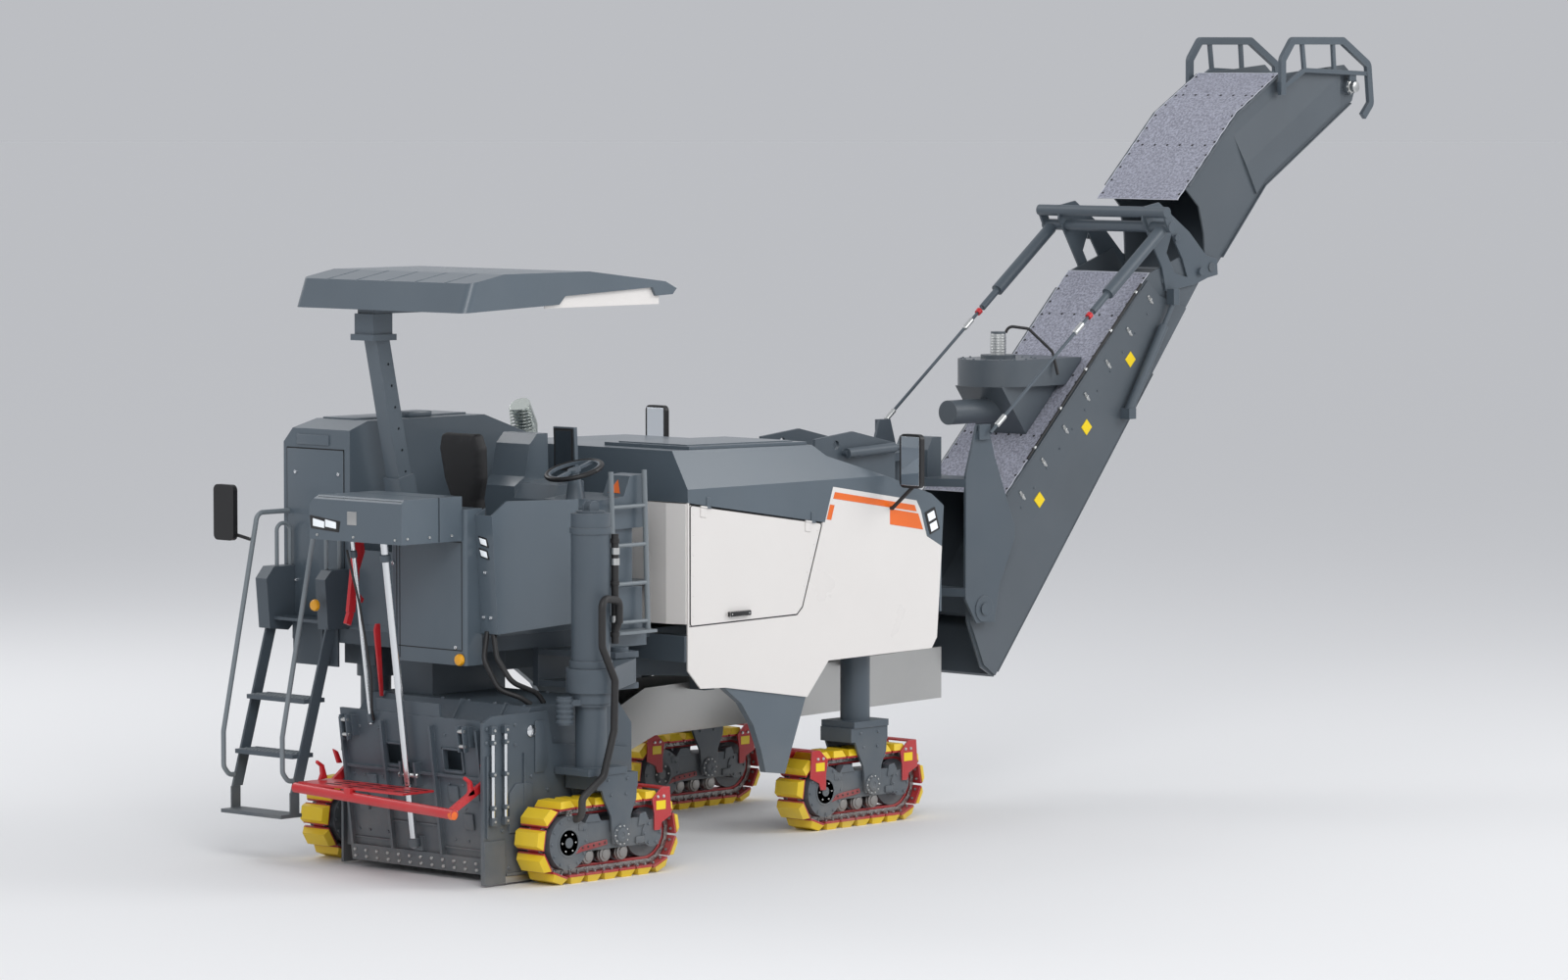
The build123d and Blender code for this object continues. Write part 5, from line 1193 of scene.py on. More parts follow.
@dataclass
class ScraperDressing:
    """Bolts, links, pins and windows of the leaning scraper board and its rods."""

    fitter: Fitter
    foot: Point = (-0.650, 0.0, 0.050)
    lean: float = math.radians(7.5)
    windows: Pair = (-0.430, -1.000)
    lugs: Pair = (-1.18, -0.06)
    rod_gap: float = 0.15
    hose_radius: float = 0.008

    def on_board(self, y: float, up: float, back: float) -> Point:
        """Return a point at a height along the board, behind its front face."""
        sine, cosine = math.sin(self.lean), math.cos(self.lean)
        return (self.foot[0] - sine * up - cosine * back, y, self.foot[2] + cosine * up - sine * back)

    def rear_way(self) -> Point:
        """Return the direction square out of the board's rear face."""
        return (-math.cos(self.lean), 0.0, -math.sin(self.lean))

    def slab(self, shape: Shape, y: Span, up: Span, back: Span, bevel: float = 0.003) -> None:
        """Add a box aligned with the board.

        Args:
            shape: The shape that it is added to.
            y, up, back: Its spans across, up and behind the board.
            bevel: The width of its rounding.
        """
        rises, depths = (up[0], up[1], up[1], up[0]), (back[0], back[0], back[1], back[1])
        corners = [self.on_board(0, rise, depth)[::2] for rise, depth in zip(rises, depths)]
        shape.prism(corners, "y", y, bevel)

    def build(self) -> None:
        """Dress the board, its rods and its cutting edge."""
        self._bolts()
        self._brackets()
        self._pins()
        self._rods()

    def _bolts(self) -> None:
        """Bolt the cutting edge, the plates and the lugs."""
        out = self.rear_way()
        bolts = [Place(self.on_board(y, up, 0.055), out)
                 for y in spread(-1.25, 0.02, 13) for up in (0.035, 0.080)]
        self.fitter.scatter("scraper_edge_bolts", Unit.BOLT, bolts, BOLT_STEEL, "scraper")
        bolts = [Place(self.on_board(y, up, 0.030), out)
                 for y in (-1.225, -1.07, -0.94, -0.50, -0.30, -0.12, -0.02)
                 for up in (0.22, 0.44, 0.60, 0.93)]
        bolts += [Place(self.on_board(y + shift, up, 0.085), out)
                  for y in self.lugs for shift in (-0.025, 0.025) for up in (0.89, 0.97)]
        self.fitter.scatter("scraper_plate_bolts", Unit.BOLT, bolts, PAINTED_BOLT, "scraper", 0.8)

    def _brackets(self) -> None:
        """Frame the windows and weld on the ribs, the pads and the lugs' cheeks."""
        shape, frame = Shape(), (0.029, 0.040)
        for middle in self.windows:
            for edge in SIDES:
                self.slab(shape, span(middle + edge * 0.085, middle + edge * 0.100), (0.675, 0.845),
                          frame, 0.002)
            for up in (0.675, 0.830):
                self.slab(shape, (middle - 0.100, middle + 0.100), (up, up + 0.015), frame, 0.002)
        for low, high, up in BOARD_RIBS:
            self.slab(shape, (low, high), (up, up + 0.012), (0.029, 0.042), 0.002)
        for y, up in BOARD_PADS:
            self.slab(shape, (y - 0.045, y + 0.045), (up, up + 0.11), (0.029, 0.048), 0.008)
        for y in self.lugs:
            for edge in SIDES:
                self.slab(shape, span(y + edge * 0.020, y + edge * 0.034), (0.845, 1.02),
                          (0.084, 0.125), 0.004)
        self.fitter.fit("scraper_brackets", shape, CHASSIS, "scraper")

    def _pins(self) -> None:
        """Pin the middle link and the lugs."""
        shape = Shape()
        shape.turned(self.on_board(-0.69, 0.64, 0.072), LEFT, LINK_PIN, 20)
        for up in (0.885, 0.985):
            for y in (-1.215, -0.095):
                shape.turned(self.on_board(y, up, 0.108), LEFT, LUG_PIN, 16)
        self.fitter.fit("scraper_pins", shape, BOLT_STEEL, "scraper")

    def _rods(self) -> None:
        """Collar both rods at their feet and tops, and run the hose between them."""
        shape = Shape()
        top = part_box("scraper_rods")[1].z
        rise = (top - self.rod_gap - self.foot[2]) / math.cos(self.lean)
        along = (-math.sin(self.lean), 0, math.cos(self.lean))
        for y, radius, up, gap in BOARD_RODS:
            for place, height in ((up + 0.01, 0.06), (rise, 0.05)):
                base = self.on_board(y, place, gap + radius + 0.0015)
                inner, outer = radius + 0.004, radius + 0.010
                shape.turned(base, along, ((0, inner), (0.006, outer), (height - 0.006, outer),
                                           (height, inner)), 24)
        self.fitter.fit("scraper_rod_collars", shape, CHASSIS, "scraper")
        route = [self.on_board(-0.235, rise + 0.06, 0.09), self.on_board(-0.300, rise - 0.30, 0.085),
                 self.on_board(-0.340, rise - 0.80, 0.080), self.on_board(-0.300, 1.04, 0.075),
                 self.on_board(-0.285, 0.985, 0.045)]
        self.fitter.tube("scraper_rod_hose", [route], self.hose_radius, HOSE, "scraper", 0.3)


@dataclass
class RearBody:
    """Covers, cabinets, lamps, latches and red gear at the machine's rear."""

    fitter: Fitter
    groove: float = 0.003
    cover_top: float = 2.520
    cabinet_door: Span = (1.50, 2.22)
    left_door: Span = (1.618, 2.762)
    left_seams: Span = (2.10, 2.78)
    step_face_x: float = -0.470
    step_top: float = 2.40
    step_slope: float = 0.0633
    bar_top: float = 0.599
    plate_face: float = -1.392
    rod_xs: tuple[float, ...] = (-0.820, -0.705)
    rod_y: float = -1.412
    hub_clear: Span = (-0.10, 0.22)

    def build(self) -> None:
        """Dress the rear."""
        self._cover()
        self._cabinets()
        self._rear_panel()
        self._red_gear()
        self._edge_plate()
        self._housing()

    def _cover(self) -> None:
        """Set the work lamp, the blank badge and the seams on the rear cover."""
        low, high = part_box("rear_cover")
        bezel, lens, badge, seams = Shape(), Shape(), Shape(), Shape()
        bezel.prism([(low.y + y, z) for y, z in LAMP_BEZEL], "x", (low.x - 0.004, low.x + 0.02), 0.006)
        self.fitter.fit("rear_lamp_bezel", bezel, BLACK)
        for left, right in ((0.850, 0.740), (0.730, 0.625)):
            lens.prism([(low.y + left, 2.318), (low.y + left, 2.370 - 0.02 * (0.85 - left)),
                        (low.y + right, 2.352), (low.y + right, 2.308)], "x",
                       (low.x - 0.007, low.x + 0.01), 0.003)
        self.fitter.fit("rear_lamp_lens", lens, LAMP)
        badge.block((low.x - 0.005, low.x + 0.01), (low.y + 0.43, low.y + 0.52), (2.34, 2.43), 0.004)
        self.fitter.fit("rear_badge_blank", badge, BARE_STEEL)
        near, far, skin = low.y - self.groove, high.y - 0.08, self.cover_top + 0.0065
        seams.prism([(near, 2.235), (near, self.cover_top), (far, self.cover_top), (far, skin), (near, skin)],
                    "x", (-0.775, -0.770), 0.0)
        self.fitter.fit("rear_cover_seams", seams, SEAL)
        screws = [Place((x, low.y, 2.27), RIGHT) for x in (-1.06, -0.86, -0.66)]
        screws += [Place((low.x, y, 2.262), REAR) for y in (-0.80, -0.40, -0.05)]
        self.fitter.scatter("rear_cover_screws", Unit.CAP_SCREW, screws, BOLT_STEEL)

    @staticmethod
    def _door_seams(shape: Shape, x: Span, y: Span, z: Span, half: float, past: Span = (0.0, 0.0)) -> None:
        """Draw the four grooves round a door that is square to X.

        Args:
            shape: The shape that they are added to.
            x, y, z: The grooves' depth, and the door's spans.
            half, past: Half a groove's width, and how far the grooves run past the corners.
        """
        for middle in y:
            shape.block(x, (middle - half, middle + half), (z[0] - past[1], z[1] + past[1]), 0.0)
        for middle in z:
            shape.block(x, (y[0] - past[0], y[1] + past[0]), (middle - half, middle + half), 0.0)

    def _cabinets(self) -> None:
        """Cut the door seams into the rear and left cabinets, and fit their door panel, latches and louvres.
        """
        low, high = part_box("rear_cabinet")
        seams, skin = Shape(), (low.x - 0.0015, low.x + 0.002)
        self._door_seams(seams, skin, (low.y + 0.035, high.y - 0.06), self.cabinet_door, self.groove)
        seams.block(skin, (-0.262, -0.256), (1.42, self.cabinet_door[1]), 0.0)
        self.fitter.fit("rear_cabinet_seams", seams, SEAL)
        left_low, left_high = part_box("left_cabinet")
        x, outer = left_low.x, left_high.y
        panel = Shape()
        panel.block((x - 0.006, x + 0.004), (left_low.y + 0.06, outer - 0.04), (1.62, 2.76), 0.003)
        panel.block((x - 0.010, x + 0.004), (left_low.y + 0.20, outer - 0.14), (2.79, 2.86), 0.004)
        panel.block((0.28, 0.50), (outer - 0.56, outer - 0.40), (2.958, 3.000), 0.012)
        panel.block((-0.19, 0.86), (outer - 0.52, outer - 0.20), (2.958, 2.972), 0.004)
        self.fitter.fit("left_cabinet_door", panel, SLATE)
        seams, skin = Shape(), (outer - 0.001, outer + 0.0015)
        self._door_seams(seams, (x - 0.003, x + 0.001), (left_low.y + 0.06, outer - 0.04), self.left_door,
                         0.006, (0.005, 0.003))
        for z in self.left_seams:
            seams.block((-0.30, 1.30), skin, (z - self.groove, z + self.groove), 0.0)
        for seam_x in (0.20, 0.78):
            seams.block((seam_x - self.groove, seam_x + self.groove), skin, (1.60, self.left_seams[1]), 0.0)
        self.fitter.fit("left_cabinet_seams", seams, SEAL)
        latches = [Place((x - 0.006, y, z), REAR) for y, z in
                   ((outer - 0.13, 2.60), (outer - 0.13, 1.86), (left_low.y + 0.10, 2.60))]
        latches += [Place((low.x, y, z), REAR) for y, z in
                    ((low.y + 0.09, 1.52), (-0.20, 2.05), (-0.20, 1.7))]
        latches += [Place((latch_x, outer, z), LEFT) for latch_x in (-0.2, 0.5, 1.1) for z in (1.75, 2.6)]
        self.fitter.scatter("cabinet_latches", Unit.CAP_SCREW, latches, CHROME, "chassis", 1.5)
        vents = Shape()
        for z in spread(2.20, 2.66, 12):
            vents.block((0.86, 1.28), (outer - 0.001, outer + 0.006), (z, z + 0.018), 0.003, 1)
        self.fitter.fit("left_cabinet_louvres", vents, CHASSIS)

    def _rear_panel(self) -> None:
        """Set the two slanted lamps and the latch on the step's rear panel."""
        bezel, lens = Shape(), Shape()
        for z in (2.115, 2.195):
            x = self.step_face_x + (self.step_top - z) * self.step_slope
            bezel.prism([(y, z + rise) for y, rise in STEP_LAMP_BEZEL], "x", (x - 0.008, x + 0.004), 0.003)
            lens.prism([(y, z + rise) for y, rise in STEP_LAMP_LENS], "x", (x - 0.0105, x - 0.004), 0.003)
        self.fitter.fit("step_lamp_bezels", bezel, BLACK)
        self.fitter.fit("step_lamp_lenses", lens, LAMP)
        places = [Place(point, (-1, 0, 0.06)) for point in
                  ((-0.447, -0.965, 2.02), (-0.428, -1.0, 1.72), (-0.428, -0.93, 1.72))]
        self.fitter.scatter("step_panel_latches", Unit.CAP_SCREW, places, CHROME, "chassis", 1.5)

    def _red_gear(self) -> None:
        """Add thin dark plates of painted shade where the slots are, and tips, hooks and pins, to the red
        guard bar and its lever.
        """
        end_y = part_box("red_gear")[0].y
        slot_shades, tip, hooks, strap = Shape(), Shape(), Shape(), Shape()
        # Each slot is a near-black plate on the bar's top: painted shade standing in for the opening.
        for x in (-1.06, -0.98, -0.90):
            for y in (-0.80, -0.58, -0.36, -0.14):
                slot_shades.block((x - 0.012, x + 0.012), (y - 0.07, y + 0.07),
                            (self.bar_top, self.bar_top + 0.0025), 0.0)
        self.fitter.fit("guard_bar_slots", slot_shades, SEAL)
        tip.turned((-1.130, end_y - 0.0005, 0.500), (0, 1, -0.04),
                   ((0, 0.020), (0.004, 0.0345), (0.030, 0.0348)), 24)
        self.fitter.fit("guard_bar_tip", tip, ORANGE)
        for y in (0.1025, -1.3175):
            hooks.prism(BAR_HOOK, "y", (y - 0.0125, y + 0.0125), 0.003)
            hooks.prism(BAR_CLAW, "y", (y - 0.010, y + 0.010), 0.003)
        hooks.block((-1.16, -1.10), (-0.40, -0.34), (0.515, 0.60), 0.008)
        hooks.prism(LEVER, "y", (-0.008, 0.008), 0.003)
        self.fitter.fit("red_gear_hooks", hooks, RED)
        bolts = [Place((-1.13, y, 0.525 + 0.039 * (y + 0.68)), (-1, 0, 0.2)) for y in (-0.60, 0.05)]
        bolts += [Place((x, y, z), (0, math.copysign(1, y), 0)) for x, y, z in GEAR_PINS]
        self.fitter.scatter("red_gear_bolts", Unit.BOLT, bolts, BOLT_STEEL, "chassis", 1.1)
        strap.prism(LOCK_STRAP, "y", (-0.115, -0.100), 0.002)
        self.fitter.fit("red_lock_strap", strap, RED)

    def _edge_plate(self) -> None:
        """Dress the right edge plate: guide rods, clamps, wear strips and bolts."""
        y, (hub_rear, hub_front) = self.plate_face, self.hub_clear
        root = y + 0.002
        bolts = [Place((x, y, 0.11), RIGHT) for x in spread(-0.66, 0.42, 9) if not hub_rear < x < hub_front]
        bolts += [Place((x, y, z), RIGHT) for x, z in PLATE_BOLTS]
        self.fitter.scatter("edge_plate_bolts", Unit.BOLT, bolts, PAINTED_BOLT, "edge_right")
        rods, brackets, strip = Shape(), Shape(), Shape()
        for x in self.rod_xs:
            rods.turned((x, self.rod_y, 0.455), UP, ((0, 0.0138), (0.55, 0.0138)), 16)
        rods.turned((-0.455, root, 1.00), RIGHT, ((0, 0.040), (0.014, 0.040), (0.018, 0.034)), 24)
        self.fitter.fit("edge_plate_rods", rods, CHROME, "edge_right")
        for x in self.rod_xs:
            for z in (0.52, 0.74, 0.95):
                brackets.block((x - 0.019, x + 0.019), (-1.431, root), (z - 0.016, z + 0.016), 0.004)
        brackets.prism(LOW_BRACKET, "y", (y - 0.010, root), 0.003)
        brackets.prism(HIGH_BRACKET, "y", (y - 0.012, root), 0.003)
        for start, end in ((-0.50, hub_rear), (hub_front, 0.46)):
            brackets.block((start, end), (y - 0.006, root), (0.150, 0.164), 0.002)
        self.fitter.fit("edge_plate_brackets", brackets, CHASSIS, "edge_right")
        pins = [Place((x, -1.430, z), RIGHT) for x in self.rod_xs for z in (0.43, 0.52, 0.74, 0.95, 1.03)]
        self.fitter.scatter("edge_plate_pins", Unit.CAP_SCREW, pins, BOLT_STEEL, "edge_right")
        for start, end in ((-0.70, hub_rear), (hub_front, 0.44)):
            strip.block((start, end), (y - 0.013, root), (0.014, 0.058), 0.003)
        self.fitter.fit("edge_plate_wear_strip", strip, BARE_STEEL, "edge_right")

    def _housing(self) -> None:
        """Bolt the housing and hang the orange caps and hoses beside it."""
        rivets = [Place((x, -1.360, z), RIGHT) for x in (-0.20, 0.0, 0.20, 0.40) for z in (0.86, 0.93)]
        self.fitter.scatter("housing_side_rivets", Unit.RIVET, rivets, PAINTED_BOLT)
        bolts = [Place((x, y, 1.150), UP) for x in (-0.40, 0.34) for y in (-1.28, -1.0, -0.75, -0.5)]
        self.fitter.scatter("housing_bolts", Unit.BOLT, bolts, PAINTED_BOLT, "chassis", 1.1)
        caps = Shape()
        for seat in ((-0.640, 0.481, 1.73), (-0.565, -0.845, 1.44)):
            caps.turned(seat, REAR, ((0, 0.040), (0.014, 0.040), (0.024, 0.034), (0.028, 0.020)), 28)
        self.fitter.fit("signal_caps", caps, AMBER)
        self.fitter.tube("housing_hoses", HOUSING_HOSES, 0.018, HOSE, "chassis", 0.12)


# ------------------------------------------------------------------ conveyors
@dataclass(frozen=True)
class Slope:
    """A straight line in the machine's side plane, with places along it and square to it."""

    start: Pair
    end: Pair

    @property
    def length(self) -> float:
        """Return the line's length."""
        return math.dist(self.start, self.end)

    @property
    def angle(self) -> float:
        """Return the line's slope in radians."""
        return math.atan2(self.end[1] - self.start[1], self.end[0] - self.start[0])

    def at(self, along: float, up: float = 0.0) -> Pair:
        """Return the X and Z of a place along the line and square above it."""
        cos, sin = math.cos(self.angle), math.sin(self.angle)
        return (self.start[0] + along * cos - up * sin, self.start[1] + along * sin + up * cos)

    def plate(self, along: Span, up: Span) -> list[Pair]:
        """Return the outline of a plate that lies along the line."""
        return [self.at(along[0], up[0]), self.at(along[1], up[0]), self.at(along[1], up[1]),
                self.at(along[0], up[1])]


@dataclass
class DustCover:
    """One dust sheet stretched over a conveyor: its puckers, seams, studs and pale edges."""

    fitter: Fitter
    node: Piece
    body: str
    corners: Outline
    rests_on: str
    step: float = 0.024
    stud_step: float = 0.135
    seam_step: float = 0.62
    pucker: float = 0.0022
    slack: float = 0.0016
    seam_depth: float = 0.0022
    seam_width: float = 0.011
    stud_inset: float = 0.022
    edge_inset: float = 0.004
    edge_radius: float = 0.0035
    proud: float = 0.001

    def __post_init__(self) -> None:
        """Measure the sheet's width and height above the line from its frame node."""
        slope = Slope(self.corners[0], self.corners[1])
        up = Vector((-math.sin(slope.angle), math.cos(slope.angle)))
        rises = []
        for vertex in self.node.data.vertices:
            offset = Vector((vertex.co.x, vertex.co.z)) - Vector(slope.start)
            along = offset.x * math.cos(slope.angle) + offset.y * math.sin(slope.angle)
            if -0.02 < along < slope.length + 0.02:
                rises.append(offset.dot(up))
        self.half = max(vertex.co.y for vertex in self.node.data.vertices)
        self.rise = (min(rises) + max(rises)) / 2
        self.slopes = [Slope(low, high) for low, high in zip(self.corners, self.corners[1:])]
        self.length = sum(slope.length for slope in self.slopes)

    def _spot(self, along: float, across: float, above: float = 0.0) -> Point:
        """Return a point on the sheet.

        Args:
            along: The distance from the foot of the sheet.
            across: The place across it.
            above: The height above the sheet.

        Returns:
            The point.
        """
        left = min(max(along, 0.0), self.length - 1e-6)
        for slope in self.slopes:
            if left <= slope.length:
                break
            left -= slope.length
        side = abs(across) / self.half
        wave = self.pucker * math.sin(math.tau * along / self.stud_step) * side ** 6
        fold = self.slack * math.sin(5.0 * along + 9.0 * across) * (1.0 - side ** 2)
        seam = (along + self.seam_step / 2) % self.seam_step - self.seam_step / 2
        dip = -self.seam_depth * math.exp(-(seam / self.seam_width) ** 2)
        x, z = slope.at(left, self.rise + wave + fold + dip + above)
        return (x, across, z)

    def _normal(self, along: float) -> Point:
        """Return the way the sheet faces at a distance from its foot."""
        low, high = self._spot(along - 0.01, 0.0), self._spot(along + 0.01, 0.0)
        run = Vector(high) - Vector(low)
        return tuple(Vector((-run.z, 0.0, run.x)).normalized())

    def build(self) -> None:
        """Make the sheet with its studs and edges."""
        name = self.node.name
        rows = max(2, round(self.length / self.step))
        columns = max(2, round(2 * self.half / self.step))
        corners = [self._spot(along, across) for along in spread(0.0, self.length, rows + 1)
                   for across in spread(-self.half, self.half, columns + 1)]
        stride = columns + 1
        faces = [(row * stride + column, (row + 1) * stride + column,
                  (row + 1) * stride + column + 1, row * stride + column + 1)
                 for row in range(rows) for column in range(columns)]
        mesh = bpy.data.meshes.new(name + "_sheet")
        mesh.from_pydata(corners, [], faces)
        mesh.flip_normals()
        mesh.materials.append(self.fitter.palette.get(DUST_CLOTH))
        piece = shown(name + "_sheet", mesh)
        mesh.shade_smooth()
        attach(piece, self.body)
        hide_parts(name)
        edge = self.half - self.edge_inset
        runs = [[self._spot(along, side * edge, self.proud)
                 for along in spread(0.0, self.length, rows + 1)] for side in SIDES]
        runs += [[self._spot(along, across, self.proud) for across in spread(-self.half, self.half, 9)]
                 for along in (self.edge_inset, self.length - self.edge_inset)]
        edging = self.fitter.tube(name + "_edging", runs, self.edge_radius, PALE_LINE, self.body, 0.0, 6)
        studs = [Place(self._spot(along, side * (self.half - self.stud_inset)), self._normal(along))
                 for along in spread(0.06, self.length - 0.06, round(self.length / self.stud_step))
                 for side in SIDES]
        inner = self.half - 0.09
        for number in range(1, int(self.length / self.seam_step) + 1):
            along = number * self.seam_step - 0.03
            studs += [Place(self._spot(along, across), self._normal(along))
                      for across in spread(-inner, inner, 6)]
        self.fitter.scatter(name + "_studs", Unit.STUD, studs, BOLT_DARK, self.body)


FAN_HOSE = ((0.05, -0.03, 0.19), (0.06, -0.05, 0.24), (0.16, -0.16, 0.22), (0.27, -0.30, 0.05),
            (0.28, -0.345, -0.12))


@dataclass
class ConveyorDressing:
    """Latches, blank plates, bolts, motors and hoses of the discharge conveyor."""

    fitter: Fitter
    nodes: dict[str, Piece]
    lower_line: Slope = Slope((5.420, 2.2098), (7.060, 3.8003))
    upper_corners: Outline = ((7.390, 4.3398), (8.080, 4.9904), (8.600, 5.2904))
    reach: float = 1.0
    latch_drop: float = -0.125
    bolt_drop: float = -0.185
    plate_up: Span = (-0.33, -0.245)
    plate_width: float = 0.085
    plate_alongs: tuple[float, ...] = (0.18, 0.92, 1.62)
    motor_radius: float = 0.0575
    fan: Point = (5.790, 0.0, 3.190)
    head: Point = (9.440, -0.440, 5.190)

    def build(self) -> None:
        """Dress both sections."""
        DustCover(self.fitter, self.nodes["lower_cover"], "conveyor",
                  (self.lower_line.start, self.lower_line.end), "lower_conveyor").build()
        DustCover(self.fitter, self.nodes["upper_cover"], "head",
                  self.upper_corners, "upper_conveyor").build()
        self._latches()
        self._plates()
        self._fan()
        self._head()

    def _skin(self, along: float, up: float, side: int) -> Point:
        """Return the point of the lower section's side skin beside a place on its line.

        Args:
            along, up: The place on the line.
            side: The side, 1 on the left.

        Returns:
            The point.
        """
        x, z = self.lower_line.at(along, up)
        found, point, _, _ = self.nodes["lower_conveyor"].ray_cast(
            (x, side * self.reach, z), (0.0, -side, 0.0))
        return tuple(point) if found else (x, 0.0, z)

    def _latches(self) -> None:
        """Set hook latches under the upper lip of both lower side panels."""
        places = []
        for side in SIDES:
            for along in spread(0.12, self.lower_line.length - 0.15, 7):
                places.append(Place(self._skin(along, self.latch_drop, side), (0.0, side, 0.0),
                                    -side * self.lower_line.angle))
        self.fitter.scatter("lower_panel_latches", Unit.LATCH, places, BOLT_STEEL, "conveyor", 0.8)

    def _plates(self) -> None:
        """Fit three blank yellow plates and a row of bolts to each lower side panel."""
        plates, bolts = Shape(), []
        for side in SIDES:
            for along in self.plate_alongs:
                face = self._skin(along + 0.04, -0.29, side)[1]
                plates.prism(self.lower_line.plate((along, along + self.plate_width), self.plate_up), "y",
                             (face - side * 0.004, face + side * 0.004), 0.0)
            for along in spread(0.05, self.lower_line.length - 0.05, 12):
                bolts.append(Place(self._skin(along, self.bolt_drop, side), (0.0, side, 0.0)))
        self.fitter.fit("conveyor_blank_plates", plates, SIGN_YELLOW, "conveyor")
        self.fitter.scatter("lower_panel_bolts", Unit.CAP_SCREW, bolts, PAINTED_BOLT, "conveyor", 0.8)

    def _fan(self) -> None:
        """Cap the fan's motor in bright metal and bolt down its lid."""
        x, y, z = self.fan
        motor = Shape()
        motor.turned((x, y, z + 0.004), UP,
                     ((0, 0.072), (0.014, 0.072), (0.016, self.motor_radius),
                      (0.176, self.motor_radius), (0.190, 0.046)))
        for level in spread(0.05, 0.15, 6):
            motor.cut_ring((x, y, z + level), UP, 0.056, 0.061, 0.006)
        self.fitter.fit("fan_motor_case", motor, BOLT_STEEL, "conveyor")
        self.fitter.scatter("fan_lid_bolts", Unit.BOLT,
                            ring_places((x, y, z), "z", 1, 0.275, 16), PAINTED_BOLT, "conveyor", 0.8)
        hose = [(x + step_x, y + step_y, z + step_z) for step_x, step_y, step_z in FAN_HOSE]
        self.fitter.tube("fan_hoses", [hose], 0.011, HOSE, "conveyor", 0.05)

    def _head(self) -> None:
        """Fit the head drive's bright motor case and its bolts."""
        x, y, z = self.head
        motor = Shape().turned((x, y - 0.001, z), RIGHT,
                               ((0, 0.048), (0.008, 0.048), (0.010, 0.0415), (0.048, 0.0415), (0.051, 0.036)))
        self.fitter.fit("head_motor_case", motor, BOLT_STEEL, "head")
        bolts = [place for side in SIDES
                 for place in ring_places((x, side * abs(y), z), "y", side, 0.053, 8)]
        self.fitter.scatter("head_hub_bolts", Unit.RIVET, bolts, BOLT_STEEL, "head", 1.2)


# ------------------------------------------------------------------ body skin
UPPER_STRIPE = ((2.868, 2.392), (3.700, 2.258), (3.722, 2.211), (2.850, 2.347))
LOWER_STRIPE = ((3.440, 2.245), (3.738, 2.196), (3.790, 2.079), (3.440, 2.135))
STRIPE_BLOCK = ((2.783, 2.205), (2.829, 2.198), (2.864, 2.300), (2.818, 2.308))


